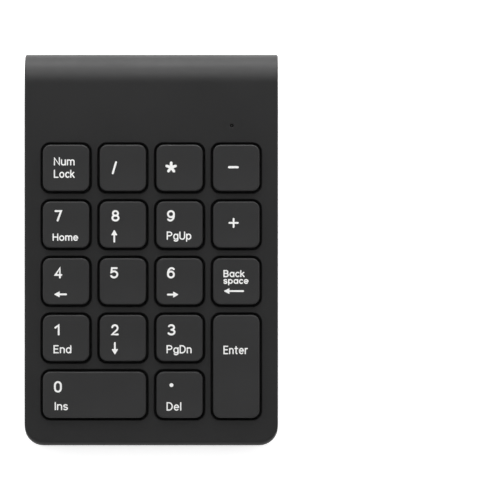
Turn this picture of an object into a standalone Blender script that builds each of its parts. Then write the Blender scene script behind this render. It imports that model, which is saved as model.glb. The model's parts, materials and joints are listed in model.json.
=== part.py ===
"""Wireless numeric keypad: a flat key deck that runs into a round battery barrel at its rear edge.

Blender 4.5 script, metres, +Z up. The keypad stands on its feet on z = 0, its deck tilted towards the user.
Everything is modelled in the deck's own frame (millimetres below): X to the user's right, Y from the front edge
to the barrel, Z out of the deck, z = 0 on the deck's top face. The empty "keypad_origin" carries the tilt.
"""

import math

import bmesh
import bpy
from mathutils import Matrix, Vector

MM = 0.001

# ---- overall ----
WIDTH = 85.0                     # across the deck
TILT = math.radians(5.6)         # deck above the desk
CORNER_R = 6.3                   # front corners, in plan
DECK_T = 1.8                     # deck wall
WALL, FRONT_WALL = 1.8, 3.4      # side and front walls of the upper shell
SEAM_Z = -5.0                    # upper shell meets lower shell
NOSE_R = 2.0                     # rounded front edge of the upper shell
LIP_Y, LIP_DROP = 16.0, 1.0      # the deck falls away in front of the keys
UNDER_Z, FLOOR_Z = -9.4, -7.8    # flat underside of the lower shell, and its inside
LOWER_T = 1.6
LOWER_INSET, LOWER_Y0 = 0.6, 2.6 # the lower shell stands back from the upper one
NECK_Y = 104.6                   # where the flat underside ends and the neck starts

# ---- barrel ----
BARREL_Y, BARREL_Z = 121.0, -10.75
BARREL_R, BARREL_IN = 10.4, 8.7
TOP_END, BOTTOM_END = 1.0, -0.7  # degrees: the shells meet at the rearmost line
NECK_ANGLE = -112.0              # where the neck leaves the round
NECK = [(115.6, -19.25), (113.9, -17.35), (112.2, -15.15), (110.4, -13.1), (108.4, -11.4), (106.4, -10.2)]
CHEEK_IN = 40.7                  # inner face of the end cheeks
LOWER_HALF = 40.4                # half width of the lower shell between the cheeks

# ---- keys ----
PITCH = 19.0
ROW_Y = 17.1                     # front row
COL_X = [-28.5, -9.5, 9.5, 28.5]
OPENING, OPENING_R = 16.9, 3.0
CAP, CAP_R = 15.6, 2.6
CAP_TOP, CAP_SKIRT, CAP_CEIL = 2.3, -1.4, 1.1
CAP_WALL = 1.1
TRAVEL = 2.0
STEM, FLANGE = 5.0, 7.0          # the flange under the sleeve's lip holds the key in
NECK_BORE, BORE, SLEEVE = 5.4, 7.4, 9.0
STEM_END, FLANGE_TOP, LIP_UNDER, SLEEVE_TOP = -3.75, -2.4, -2.2, -1.15

# ---- layers under the keys ----
MODULE_X, MODULE_Y0, MODULE_Y1 = 37.6, 9.0, 103.2
GUIDE = (-6.0, -4.9)
MAT = (-6.55, -6.05)
DOME_TOP = -3.85
TOP_FILM, SPACER, LOW_FILM = (-6.75, -6.6), (-6.95, -6.8), (-7.15, -7.0)
PLATE = (-7.7, -7.2)
STAKES = [(-19.0, 45.6), (19.0, 45.6), (-19.0, 83.6), (19.0, 83.6)]
DECK_POSTS = [(0.0, 45.6), (0.0, 83.6)]

# ---- electronics bay ----
BOARD = (-6.9, -5.9)
BOARD_Y0, BOARD_Y1, BOARD_X = 104.8, 112.0, 31.5
LED_X, LED_Y = 27.0, 107.3
CLAMP_X, CLAMP_Y = 14.0, 109.0
SWITCH_X, SWITCH_TRAVEL = -24.0, 2.2

# ---- battery ----
CELL_R, CELL_X0, CELL_X1, NUB_X = 7.15, -24.8, 24.7, 25.7
BAY_X = 26.5                     # half length of the battery opening
CONTACT_X = (27.6, 27.9)
DOOR_DIR = math.radians(-64.0)   # the way the cell goes in, seen from the left
DOOR_HALF = 7.4
GAP = 0.2

# ---- housing screws ----
FRONT_SCREW, FRONT_SEAT = (19.0, 6.6), -7.85
REAR_SCREW, REAR_SEAT = (36.0, 108.5), -9.25
SCREW_R, SCREW_L, HEAD_R, HEAD_H = 0.85, 4.85, 1.5, 1.1

# ---- feet ----
REAR_FOOT_X, REAR_FOOT_L, FOOT_REACH = 34.0, 8.0, 11.15
FRONT_FOOT_X, FRONT_FOOT_W, FRONT_FOOT_Y = 32.0, 13.0, (5.2, 14.0)

# ---- stabiliser bars of the double keys ----
WIRE_R, ARM, BAR_OFF, BAR_Z, BAR_HALF = 0.5, 6.0, -5.3, -2.3, 13.0
ARM_ANGLE = math.asin(TRAVEL / 2 / ARM)


for old in list(bpy.data.objects):
    bpy.data.objects.remove(old, do_unlink=True)

parts = bpy.data.collections.new("numeric_keypad")
helpers = bpy.data.collections.new("cutters")
bpy.context.scene.collection.children.link(parts)
bpy.context.scene.collection.children.link(helpers)


# ------------------------------------------------------------------ small tools
def scaled(points):
    return [Vector(p) * MM for p in points]


def add(name, mesh):
    obj = bpy.data.objects.new(name, mesh)
    helpers.objects.link(obj)
    obj.hide_render = True
    obj.display_type = "WIRE"
    return obj


def from_bmesh(name, bm):
    mesh = bpy.data.meshes.new(name)
    bmesh.ops.recalc_face_normals(bm, faces=bm.faces)
    bm.to_mesh(mesh)
    bm.free()
    return add(name, mesh)


def flat(name, outline, low, high, axis="Z"):
    """A flat outline given thickness: points are (x, y) for axis Z and (y, z) for axis X."""
    curve = bpy.data.curves.new(name, "CURVE")
    curve.dimensions = "2D"
    curve.fill_mode = "BOTH"
    curve.extrude = (high - low) / 2 * MM
    spline = curve.splines.new("POLY")
    spline.points.add(len(outline) - 1)
    for point, (u, v) in zip(spline.points, outline):
        point.co = (u * MM, v * MM, 0, 1)
    spline.use_cyclic_u = True
    guide = add(name + "_curve", curve)
    bpy.context.view_layer.update()
    graph = bpy.context.evaluated_depsgraph_get()
    mesh = bpy.data.meshes.new_from_object(guide.evaluated_get(graph))
    bpy.data.objects.remove(guide, do_unlink=True)
    bm = bmesh.new()
    bm.from_mesh(mesh)
    bmesh.ops.remove_doubles(bm, verts=bm.verts, dist=1e-7)
    bmesh.ops.dissolve_limit(bm, angle_limit=math.radians(0.1), verts=bm.verts, edges=bm.edges)
    middle = (low + high) / 2 * MM
    if axis == "Z":
        bmesh.ops.translate(bm, verts=bm.verts, vec=(0, 0, middle))
    else:
        turn = Matrix(((0, 0, 1, 0), (1, 0, 0, 0), (0, 1, 0, 0), (0, 0, 0, 1)))
        bmesh.ops.transform(bm, matrix=turn, verts=bm.verts)
        bmesh.ops.translate(bm, verts=bm.verts, vec=(middle, 0, 0))
    bpy.data.meshes.remove(mesh)
    return from_bmesh(name, bm)


def loft(name, rings):
    """Closed skin through rings of equal point count, capped at both ends."""
    bm = bmesh.new()
    loops = [[bm.verts.new(p) for p in scaled(ring)] for ring in rings]
    for a, b in zip(loops, loops[1:]):
        for i in range(len(a)):
            j = (i + 1) % len(a)
            bm.faces.new((a[i], a[j], b[j], b[i]))
    bm.faces.new(loops[0])
    bm.faces.new(loops[-1])
    return from_bmesh(name, bm)


def block(name, x, y, z):
    bm = bmesh.new()
    bmesh.ops.create_cube(bm, size=1.0)
    size = Vector((x[1] - x[0], y[1] - y[0], z[1] - z[0])) * MM
    middle = Vector((x[0] + x[1], y[0] + y[1], z[0] + z[1])) * MM / 2
    bmesh.ops.scale(bm, vec=size, verts=bm.verts)
    bmesh.ops.translate(bm, vec=middle, verts=bm.verts)
    return from_bmesh(name, bm)


def rod(name, centre, radius, low, high, segments=16, top_radius=None, axis="Z"):
    bm = bmesh.new()
    bmesh.ops.create_cone(
        bm, cap_ends=True, segments=segments, radius1=radius * MM,
        radius2=(radius if top_radius is None else top_radius) * MM, depth=(high - low) * MM,
    )
    if axis == "X":
        bmesh.ops.rotate(bm, verts=bm.verts, matrix=Matrix.Rotation(math.pi / 2, 3, "Y"))
        place = Vector(((low + high) / 2, centre[0], centre[1]))
    else:
        place = Vector((centre[0], centre[1], (low + high) / 2))
    bmesh.ops.translate(bm, vec=place * MM, verts=bm.verts)
    return from_bmesh(name, bm)


def turned(name, profile, centre, axis="Z", segments=24):
    """A turned piece: profile is (radius, height) pairs, top to bottom, revolved by a Screw modifier."""
    mesh = bpy.data.meshes.new(name)
    mesh.from_pydata([(r * MM, 0, h * MM) for r, h in profile], [(i, i + 1) for i in range(len(profile) - 1)], [])
    obj = add(name, mesh)
    screw = obj.modifiers.new("turn", "SCREW")
    screw.axis = "Z"
    screw.steps = screw.render_steps = segments
    screw.use_merge_vertices = True
    screw.merge_threshold = 1e-6
    obj = bake(obj)
    bm = bmesh.new()
    bm.from_mesh(obj.data)
    bmesh.ops.remove_doubles(bm, verts=bm.verts, dist=1e-7)
    if axis == "X":
        bmesh.ops.rotate(bm, verts=bm.verts, matrix=Matrix.Rotation(math.pi / 2, 3, "Y"))
    bmesh.ops.translate(bm, vec=Vector(centre) * MM, verts=bm.verts)
    bmesh.ops.recalc_face_normals(bm, faces=bm.faces)
    bm.to_mesh(obj.data)
    bm.free()
    return obj


def tube(name, points, radius, resolution=2, cyclic=False):
    """A wire along points: a POLY curve with a round bevel and filled caps, made a mesh."""
    curve = bpy.data.curves.new(name, "CURVE")
    curve.dimensions = "3D"
    curve.bevel_depth = radius * MM
    curve.bevel_resolution = resolution
    curve.use_fill_caps = True
    spline = curve.splines.new("POLY")
    spline.points.add(len(points) - 1)
    for point, p in zip(spline.points, points):
        point.co = (p[0] * MM, p[1] * MM, p[2] * MM, 1)
    guide = add(name + "_curve", curve)
    bpy.context.view_layer.update()
    graph = bpy.context.evaluated_depsgraph_get()
    mesh = bpy.data.meshes.new_from_object(guide.evaluated_get(graph))
    bpy.data.objects.remove(guide, do_unlink=True)
    bm = bmesh.new()
    bm.from_mesh(mesh)
    bmesh.ops.remove_doubles(bm, verts=bm.verts, dist=1e-7)
    bpy.data.meshes.remove(mesh)
    return from_bmesh(name, bm)


def bake(obj):
    """The object with its modifiers made real."""
    bpy.context.view_layer.update()
    graph = bpy.context.evaluated_depsgraph_get()
    mesh = bpy.data.meshes.new_from_object(obj.evaluated_get(graph))
    obj.modifiers.clear()
    obj.data = mesh
    return obj


def boolean(obj, other, operation, keep=False):
    step = obj.modifiers.new(operation.lower(), "BOOLEAN")
    step.operation = operation
    step.solver = "EXACT"
    step.object = other
    bake(obj)
    if not keep:
        bpy.data.objects.remove(other, do_unlink=True)
    return obj


def cut(obj, *others, keep=False):
    for other in others:
        boolean(obj, other, "DIFFERENCE", keep)
    return obj


def join(obj, *others):
    for other in others:
        boolean(obj, other, "UNION")
    return obj


def common(obj, other, keep=False):
    return boolean(obj, other, "INTERSECT", keep)


def group(name, objects):
    """Several helper solids that don't touch, as one helper, for one Boolean."""
    bm = bmesh.new()
    for obj in objects:
        bm.from_mesh(obj.data)
        bpy.data.objects.remove(obj, do_unlink=True)
    return from_bmesh(name, bm)


def copy(obj, name):
    return add(name, obj.data.copy())


def moved(obj, x=0.0, y=0.0, z=0.0, turn=0.0):
    obj.data.transform(Matrix.Translation(Vector((x, y, z)) * MM) @ Matrix.Rotation(turn, 4, "Z"))
    return obj


def tidy(obj):
    """Coplanar faces made one again after Booleans."""
    bm = bmesh.new()
    bm.from_mesh(obj.data)
    bmesh.ops.remove_doubles(bm, verts=bm.verts, dist=2e-7)
    bmesh.ops.dissolve_limit(bm, angle_limit=math.radians(0.05), verts=bm.verts, edges=bm.edges)
    bm.to_mesh(obj.data)
    bm.free()
    return obj


def finish(obj, name, colour, roughness=0.5, metallic=0.0, origin=None, smooth=True):
    """Makes a helper a real part: name, collection, material, origin and parent."""
    obj.name = name
    obj.hide_render = False
    obj.display_type = "TEXTURED"
    for c in list(obj.users_collection):
        c.objects.unlink(obj)
    parts.objects.link(obj)
    if origin is not None and obj.data.users == 1:
        obj.data.transform(Matrix.Translation(-Vector(origin) * MM))
    if origin is not None:
        obj.location = Vector(origin) * MM
    material = bpy.data.materials.new(name)
    material.use_nodes = True
    shader = material.node_tree.nodes["Principled BSDF"]
    shader.inputs["Base Color"].default_value = (*colour, 1)
    shader.inputs["Roughness"].default_value = roughness
    shader.inputs["Metallic"].default_value = metallic
    if obj.data.users == 1:
        obj.data.materials.clear()
        obj.data.materials.append(material)
    else:
        if not obj.data.materials:
            obj.data.materials.append(material)
        obj.material_slots[0].link = "OBJECT"
        obj.material_slots[0].material = material
    if smooth:
        obj.data.shade_smooth()
        obj.data.set_sharp_from_angle(angle=math.radians(32))
    obj.parent = base
    return obj


# ------------------------------------------------------------------ shapes that follow a rule
def rounded(cx, cy, w, h, r, n=4, radii=None):
    """Rounded rectangle, anticlockwise from the lower right corner. radii: front right, rear right, rear left, front left."""
    radii = radii or (r, r, r, r)
    points = []
    corners = [(1, -1, -90), (1, 1, 0), (-1, 1, 90), (-1, -1, 180)]
    for (sx, sy, start), rr in zip(corners, radii):
        for i in range(n + 1):
            a = math.radians(start + 90 * i / n)
            points.append((cx + sx * (w / 2 - rr) + rr * math.cos(a), cy + sy * (h / 2 - rr) + rr * math.sin(a)))
    return points


def ring(points, z):
    return [(x, y, z) for x, y in points]


def on_barrel(radius, degrees):
    a = math.radians(degrees)
    return (BARREL_Y + radius * math.cos(a), BARREL_Z + radius * math.sin(a))


def arc(radius, start, end, steps):
    return [on_barrel(radius, start + (end - start) * i / steps) for i in range(steps + 1)]


def offset(path, d):
    """The open path moved d to its left, with mitred corners."""
    out = []
    for i, p in enumerate(path):
        p = Vector(p)
        before = (p - Vector(path[i - 1])).normalized() if i else None
        after = (Vector(path[i + 1]) - p).normalized() if i < len(path) - 1 else None
        before, after = before or after, after or before
        n1, n2 = Vector((-before.y, before.x)), Vector((-after.y, after.x))
        mid = (n1 + n2).normalized()
        out.append(tuple(p + mid * (d / max(0.5, mid.dot(n1)))))
    return out


def deck_z(y):
    if y < LIP_Y:
        return -LIP_DROP * ((LIP_Y - y) / (LIP_Y - NOSE_R)) ** 2
    if y > NECK_Y:
        return (BARREL_Z + BARREL_R) * ((y - NECK_Y) / (BARREL_Y - NECK_Y)) ** 2
    return 0.0


nose = [(NOSE_R + NOSE_R * math.cos(math.radians(a)), SEAM_Z + NOSE_R + NOSE_R * math.sin(math.radians(a)))
        for a in [-90 - 22.5 * i for i in range(9)]]
deck_ys = (4.5, 7.0, 10.0, 13.0, LIP_Y, NECK_Y, 109.0, 113.5)
outer_profile = (nose + [(y, deck_z(y)) for y in deck_ys + (117.5,)] + arc(BARREL_R, 90, NECK_ANGLE, 20)
                 + NECK + [(NECK_Y, UNDER_Z), (NECK_Y, SEAM_Z)])

# The empty stands the keypad on its feet, centred over the desk. The front edge and the barrel set its length.
down = Vector((-math.sin(TILT), -math.cos(TILT)))            # desk direction, in the deck's (y, z)
desk = down.dot(Vector((BARREL_Y, BARREL_Z))) + FOOT_REACH
front_most = min(y * math.cos(TILT) - z * math.sin(TILT) for y, z in outer_profile)
rear_most = BARREL_Y * math.cos(TILT) - BARREL_Z * math.sin(TILT) + BARREL_R
base = bpy.data.objects.new("keypad_origin", None)
base.rotation_euler = (TILT, 0, 0)
base.location = Vector((0, -(front_most + rear_most) / 2, desk)) * MM
parts.objects.link(base)


def desk_z(y):
    """Height of the desk in the deck's frame, at y."""
    return -(desk + math.sin(TILT) * y) / math.cos(TILT)


KEYS = {}                                                     # name: (x, y, columns, rows)
for row, names in enumerate([("key_1", "key_2", "key_3"), ("key_4", "key_5", "key_6", "key_backspace"),
                             ("key_7", "key_8", "key_9", "key_plus"),
                             ("key_num_lock", "key_divide", "key_multiply", "key_minus")]):
    for col, key in enumerate(names):
        KEYS[key] = (COL_X[col], ROW_Y + PITCH * (row + 1), 1, 1)
KEYS["key_0"] = ((COL_X[0] + COL_X[1]) / 2, ROW_Y, 2, 1)
KEYS["key_decimal"] = (COL_X[2], ROW_Y, 1, 1)
KEYS["key_enter"] = (COL_X[3], ROW_Y + PITCH / 2, 1, 2)


# ------------------------------------------------------------------ upper shell
def openings(size, r, low, high, n=3):
    return [flat("opening", rounded(x, y, size + PITCH * (cols - 1), size + PITCH * (rows - 1), r, n), low, high)
            for x, y, cols, rows in KEYS.values()]


top = common(flat("top_case", outer_profile, -WIDTH / 2 - 1, WIDTH / 2 + 1, "X"),
             flat("plan_outer", rounded(0, 66.5, WIDTH, 133, 0, 6, (CORNER_R, 0.5, 0.5, CORNER_R)), -40, 10))
inner = [(FRONT_WALL, -30), (FRONT_WALL, deck_z(FRONT_WALL) - DECK_T - 0.6)]
inner += [(y, deck_z(y) - DECK_T) for y in deck_ys]
inner += arc(BARREL_IN, 100, TOP_END, 10) + [on_barrel(15.0, TOP_END), (150, -12), (150, -30)]
cut(top, common(flat("hollow", inner, -CHEEK_IN, CHEEK_IN, "X"),
                flat("plan_inner", rounded(0, FRONT_WALL + 73, 2 * CHEEK_IN, 146, 0, 4, (4.0, 0.3, 0.3, 4.0)), -40, 10)))
cut(top, group("key_openings", openings(OPENING, OPENING_R, -4, 2)))
posts = [rod("post", p, 0.9, GUIDE[1] + 0.1, -DECK_T + 0.5, 8) for p in DECK_POSTS]
posts += [rod("post", (s * FRONT_SCREW[0], FRONT_SCREW[1]), 1.9, SEAM_Z - 0.1, -1.9, 12) for s in (-1, 1)]
posts += [rod("post", (s * REAR_SCREW[0], REAR_SCREW[1]), 1.9, -7.0, -1.4, 12) for s in (-1, 1)]
posts += [rod("post", (s * CLAMP_X, CLAMP_Y), 1.9, BOARD[1] + 0.1, -1.4, 12) for s in (-1, 1)]
join(top, group("posts", posts))
holes = [rod("hole", (s * FRONT_SCREW[0], FRONT_SCREW[1]), 0.95, -9, -2.7, 10) for s in (-1, 1)]
holes += [rod("hole", (s * REAR_SCREW[0], REAR_SCREW[1]), 0.95, -9, -3.2, 10) for s in (-1, 1)]
holes += [rod("hole", (s * CLAMP_X, CLAMP_Y), 0.95, -9, -3.2, 10) for s in (-1, 1)]
holes += [rod("hole", (LED_X, LED_Y), 0.7, -4, 2, 12)]
cut(top, group("holes", holes))
DARK = (0.0284, 0.0284, 0.0296)
finish(tidy(top), "top_case", DARK, 0.42)


# ------------------------------------------------------------------ lower shell
def lower_plan(inset, z):
    w, y0, y1 = WIDTH - 2 * LOWER_INSET - 2 * inset, LOWER_Y0 + inset, NECK_Y - 0.2
    r = 5.2 - 0.6 * inset
    return ring(rounded(0, (y0 + y1) / 2, w, y1 - y0, 0, 4, (r, 0.3, 0.3, r)), z)


def tray_plan(inset, z):
    w, y0, y1 = WIDTH - 2 * LOWER_INSET - 2 * inset, LOWER_Y0 + inset, NECK_Y + 1
    r = 4.4 - 0.4 * inset
    return ring(rounded(0, (y0 + y1) / 2, w, y1 - y0, 0, 3, (r, 0.3, 0.3, r)), z)


under = [(96, UNDER_Z), (NECK_Y, UNDER_Z)] + NECK[::-1] + arc(BARREL_R, NECK_ANGLE, BOTTOM_END, 11)
lower = loft("bottom_case", [lower_plan(0, SEAM_Z - 0.1), lower_plan(0.35, -7.0), lower_plan(1.9, UNDER_Z)])
cut(lower, loft("tray", [tray_plan(1.7, -3), tray_plan(1.7, -6.8), tray_plan(2.5, FLOOR_Z)]))
shell = flat("shell", under + offset(under, LOWER_T)[::-1], -LOWER_HALF, LOWER_HALF, "X")
join(lower, shell)

inside = flat("inside", outer_profile[:-2] + [(NECK_Y, UNDER_Z), (0, UNDER_Z)], -LOWER_HALF, LOWER_HALF, "X")
bosses = [rod("boss", (s * FRONT_SCREW[0], FRONT_SCREW[1]), 2.1, UNDER_Z + 0.5, SEAM_Z - 0.25, 12) for s in (-1, 1)]
bosses += [common(rod("boss", (s * REAR_SCREW[0], REAR_SCREW[1]), 2.3, -14, -7.15, 12), inside, keep=True) for s in (-1, 1)]
bulkhead = arc(BARREL_R - 2.1, 248, 0, 14) + arc(BARREL_R - 1.0, -3, -108, 8)
bosses += [flat("bulkhead", bulkhead, 28.0, 29.2, "X"), flat("bulkhead", bulkhead, -29.2, -28.0, "X")]
join(lower, group("bosses", bosses))
bpy.data.objects.remove(inside, do_unlink=True)
holes = [rod("hole", (s * FRONT_SCREW[0], FRONT_SCREW[1]), 1.05, -12, -3, 10) for s in (-1, 1)]
holes += [rod("hole", (s * REAR_SCREW[0], REAR_SCREW[1]), 1.05, -14, -3, 10) for s in (-1, 1)]
cut(lower, group("holes", holes))
seats = [rod("seat", (s * FRONT_SCREW[0], FRONT_SCREW[1]), HEAD_R + 0.15, -12, FRONT_SEAT + 0.05, 12) for s in (-1, 1)]
seats += [rod("seat", (s * REAR_SCREW[0], REAR_SCREW[1]), HEAD_R + 0.15, -14, REAR_SEAT + 0.05, 12) for s in (-1, 1)]
seats += [flat("foot_seat", rounded(s * FRONT_FOOT_X, sum(FRONT_FOOT_Y) / 2, FRONT_FOOT_W + 0.2,
                                    FRONT_FOOT_Y[1] - FRONT_FOOT_Y[0] + 0.2, 2.1, 2), -12, UNDER_Z + 0.4) for s in (-1, 1)]
knob_slot = (SWITCH_X - 1.8 - 0.25, SWITCH_X + 1.8 + SWITCH_TRAVEL + 0.25)
seats += [block("slot", knob_slot, (108.05, 110.75), (-16, -8.0))]
cut(lower, group("seats", seats))


def in_bay(name, x, u, w):
    """A box in the battery's own frame: u across the opening, w the way the cell goes in."""
    box = block(name, x, (-1, 1), (-1, 1))
    d, l = (math.cos(DOOR_DIR), math.sin(DOOR_DIR)), (-math.sin(DOOR_DIR), math.cos(DOOR_DIR))
    for v in box.data.vertices:
        uu = (u[0] + u[1]) / 2 + (u[1] - u[0]) / 2 * v.co.y / MM
        ww = (w[0] + w[1]) / 2 + (w[1] - w[0]) / 2 * v.co.z / MM
        v.co.y = (BARREL_Y + l[0] * uu + d[0] * ww) * MM
        v.co.z = (BARREL_Z + l[1] * uu + d[1] * ww) * MM
    bm = bmesh.new()
    bm.from_mesh(box.data)
    bmesh.ops.recalc_face_normals(bm, faces=bm.faces)
    bm.to_mesh(box.data)
    bm.free()
    return box


cut(lower, in_bay("opening", (-BAY_X, BAY_X), (-DOOR_HALF, DOOR_HALF), (0, 13)))


def foot_block(x, half_l, half_w, near, far):
    """A box on the barrel's underside: near and far are distances from the barrel's axis, towards the desk."""
    box = block("foot_block", (x - half_l, x + half_l), (-half_w, half_w), (-far, -near))
    box.data.transform(Matrix.Translation(Vector((0, BARREL_Y, BARREL_Z)) * MM) @ Matrix.Rotation(-TILT, 4, "X"))
    return box


cut(lower, group("foot_seats", [foot_block(s * REAR_FOOT_X, REAR_FOOT_L / 2 + 0.05, 1.05, 9.85, 12) for s in (-1, 1)]))
finish(tidy(lower), "bottom_case", (0.0252, 0.0252, 0.0262), 0.5)

# ------------------------------------------------------------------ battery door
door = flat("battery_door", arc(BARREL_R, -122, -6, 12) + arc(BARREL_R - LOWER_T, -6, -122, 12), -BAY_X + GAP, BAY_X - 0.35, "X")
common(door, in_bay("door_box", (-BAY_X, BAY_X), (-DOOR_HALF + GAP, DOOR_HALF - GAP), (2, 13)))
tab = in_bay("tab", (-BAY_X - 1.2, -BAY_X + 3), (-2.2, 2.2), (7.6, 8.2))
join(tab, in_bay("tab_root", (-BAY_X + 0.5, -BAY_X + 2.5), (-1.9, 1.9), (7.9, 9.3)))
join(door, tab)
hinge = (-BAY_X, BARREL_Y + BARREL_R * math.cos(DOOR_DIR), BARREL_Z + BARREL_R * math.sin(DOOR_DIR))
finish(tidy(door), "battery_door", (0.0252, 0.0252, 0.0262), 0.5, origin=hinge)

# ------------------------------------------------------------------ feet
RUBBER = (0.012, 0.012, 0.013)
for side, s in (("left", -1), ("right", 1)):
    foot = foot_block(s * REAR_FOOT_X, REAR_FOOT_L / 2, 1.0, 9.92, FOOT_REACH)
    for v in foot.data.vertices:
        reach = down.x * (v.co.y / MM - BARREL_Y) + down.y * (v.co.z / MM - BARREL_Z)
        if reach > FOOT_REACH - 0.1:
            middle = Vector((BARREL_Y + down.x * reach, BARREL_Z + down.y * reach))
            v.co.y = (middle.x + (v.co.y / MM - middle.x) * 0.4) * MM
            v.co.z = (middle.y + (v.co.z / MM - middle.y) * 0.4) * MM
            v.co.x = (s * REAR_FOOT_X + (v.co.x / MM - s * REAR_FOOT_X) * 0.86) * MM
    finish(foot, "rear_foot_" + side, RUBBER, 0.85)
    y0, y1 = FRONT_FOOT_Y
    plan = rounded(s * FRONT_FOOT_X, (y0 + y1) / 2, FRONT_FOOT_W, y1 - y0, 2.0, 2)
    foot = flat("front_foot", plan, -13, UNDER_Z + 0.35)
    section = [(y0 - 1, UNDER_Z + 1), (y0 - 1, desk_z(y0 - 1)), (7.0, desk_z(7.0)), (12.6, -10.55), (13.6, -10.2), (15, -9.0)]
    common(foot, flat("section", section + [(15, UNDER_Z + 1)], -WIDTH, WIDTH, "X"))
    finish(tidy(foot), "front_foot_" + side, RUBBER, 0.85)


# ------------------------------------------------------------------ keys
def bar_path(wide):
    """The stabiliser bar round the key's centre: its long side lies in the guide plate's clips, its tips in the cap's eyes."""
    tip_y, tip_z = BAR_OFF + ARM * math.cos(ARM_ANGLE), BAR_Z + ARM * math.sin(ARM_ANGLE)
    return [(-wide + 2.4, tip_y, tip_z), (-wide, tip_y, tip_z), (-wide, BAR_OFF, BAR_Z),
            (wide, BAR_OFF, BAR_Z), (wide, tip_y, tip_z), (wide - 2.4, tip_y, tip_z)]


def keycap(cols, rows):
    """A cap with its stem, centred on x = y = 0. Double caps also hang two eyes for the stabiliser bar."""
    w, h = CAP + PITCH * (cols - 1), CAP + PITCH * (rows - 1)
    cap = loft("cap", [ring(rounded(0, 0, w - 2 * i, h - 2 * i, CAP_R - i, 3), z)
                       for i, z in ((0, CAP_SKIRT), (0.05, CAP_TOP - 0.35), (0.28, CAP_TOP))])
    cut(cap, flat("cavity", rounded(0, 0, w - 2 * CAP_WALL, h - 2 * CAP_WALL, 1.5, 1), -6, CAP_CEIL))
    stem = block("stem", (-STEM / 2, STEM / 2), (-STEM / 2, STEM / 2), (FLANGE_TOP - 0.2, CAP_CEIL + 0.3))
    join(stem, block("flange", (-FLANGE / 2, FLANGE / 2), (-FLANGE / 2, FLANGE / 2), (STEM_END, FLANGE_TOP)))
    join(cap, stem)
    if cols * rows > 1:
        tip_y, tip_z = BAR_OFF + ARM * math.cos(ARM_ANGLE), BAR_Z + ARM * math.sin(ARM_ANGLE)
        eyes = [block("eye", sorted((s * (BAR_HALF - 2.1), s * (BAR_HALF - 0.9))), (tip_y - 1.3, tip_y + 1.2), (-2.5, CAP_CEIL + 0.3))
                for s in (-1, 1)]
        slots = [block("slot", sorted((s * (BAR_HALF - 3.0), s * (BAR_HALF - 0.2))), (tip_y - 0.68, tip_y + 0.6),
                       (tip_z - 0.58, tip_z + 0.58)) for s in (-1, 1)]
        eyes, slots = group("eyes", eyes), group("slots", slots)
        if rows > 1:
            moved(eyes, turn=math.pi / 2)
            moved(slots, turn=math.pi / 2)
        join(cap, eyes)
        cut(cap, slots)
    return tidy(cap)


CAP_COLOUR = (0.0356, 0.0356, 0.0371)
caps = {(1, 1): keycap(1, 1), (2, 1): keycap(2, 1), (1, 2): keycap(1, 2)}
for key, (x, y, cols, rows) in KEYS.items():
    cap = moved(copy(caps[cols, rows], key), x, y)
    finish(cap, key, CAP_COLOUR, 0.45, origin=(x, y, 0))
for cap in caps.values():
    bpy.data.objects.remove(cap, do_unlink=True)

# ------------------------------------------------------------------ guide plate
WIDE = [(*KEYS[name][:2], turn) for name, turn in (("key_0", 0.0), ("key_enter", math.pi / 2))]
guide = block("guide", (-MODULE_X, MODULE_X), (MODULE_Y0, MODULE_Y1), GUIDE)
sites = [(x, y) for x, y, _, _ in KEYS.values()]
fixed = [block("sleeve", (x - SLEEVE / 2, x + SLEEVE / 2), (y - SLEEVE / 2, y + SLEEVE / 2), (GUIDE[1] - 0.5, SLEEVE_TOP))
         for x, y in sites]
fixed += [rod("stake", p, 0.9, PLATE[0] + 0.05, GUIDE[0] + 0.5, 8) for p in STAKES]
for x, y, turn in WIDE:
    for s in (-1, 1):
        clip = block("clip", (s * 9.0 - 0.8, s * 9.0 + 0.8), (BAR_OFF - 1.05, BAR_OFF + 1.05), (GUIDE[1] - 0.5, -1.15))
        fixed.append(moved(clip, x, y, 0, turn))
join(guide, group("fixed", fixed))
bores = [block("bore", (x - NECK_BORE / 2, x + NECK_BORE / 2), (y - NECK_BORE / 2, y + NECK_BORE / 2), (-3, 0)) for x, y in sites]
cut(guide, group("necks", bores))
bores = [block("bore", (x - BORE / 2, x + BORE / 2), (y - BORE / 2, y + BORE / 2), (-8, LIP_UNDER)) for x, y in sites]
for x, y, turn in WIDE:
    for s in (-1, 1):
        hole = block("eye", (s * 9.0 - 1.5, s * 9.0 + 1.5), (BAR_OFF - 0.57, BAR_OFF + 0.57), (BAR_Z - 0.57, BAR_Z + 0.57))
        bores.append(moved(hole, x, y, 0, turn))
cut(guide, group("bores", bores))
finish(tidy(guide), "key_guide_plate", (0.18, 0.18, 0.18), 0.6)

for name, (x, y, turn) in zip(("stabilizer_wire_0", "stabilizer_wire_enter"), WIDE):
    wire = moved(tube(name, bar_path(BAR_HALF), WIRE_R, 2), x, y, 0, turn)
    axis = Matrix.Rotation(turn, 3, "Z") @ Vector((0, BAR_OFF, BAR_Z)) + Vector((x, y, 0))
    finish(wire, name, (0.55, 0.55, 0.57), 0.3, 1.0, origin=tuple(axis))


# ------------------------------------------------------------------ mat, films, plate
def sheet(name, level, holes, radius=0.0, tail=False):
    y0, y1 = MODULE_Y0 + 0.4, MODULE_Y1 - 0.4
    outline = [(MODULE_X - 0.4, y0), (MODULE_X - 0.4, y1), (-MODULE_X + 0.4, y1), (-MODULE_X + 0.4, y0)]
    if tail:
        outline[2:2] = [(11.5, y1), (11.5, CLAMP_Y + 1.6), (-11.5, CLAMP_Y + 1.6), (-11.5, y1)]
    piece = flat(name, outline, *level)
    punched = [rod("hole", p, 1.1, level[0] - 1, level[1] + 1, 8) for p in STAKES]
    if holes:
        punched += [rod("hole", p, radius, level[0] - 1, level[1] + 1, 8) for p in sites]
    return cut(piece, group("punched", punched))


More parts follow.
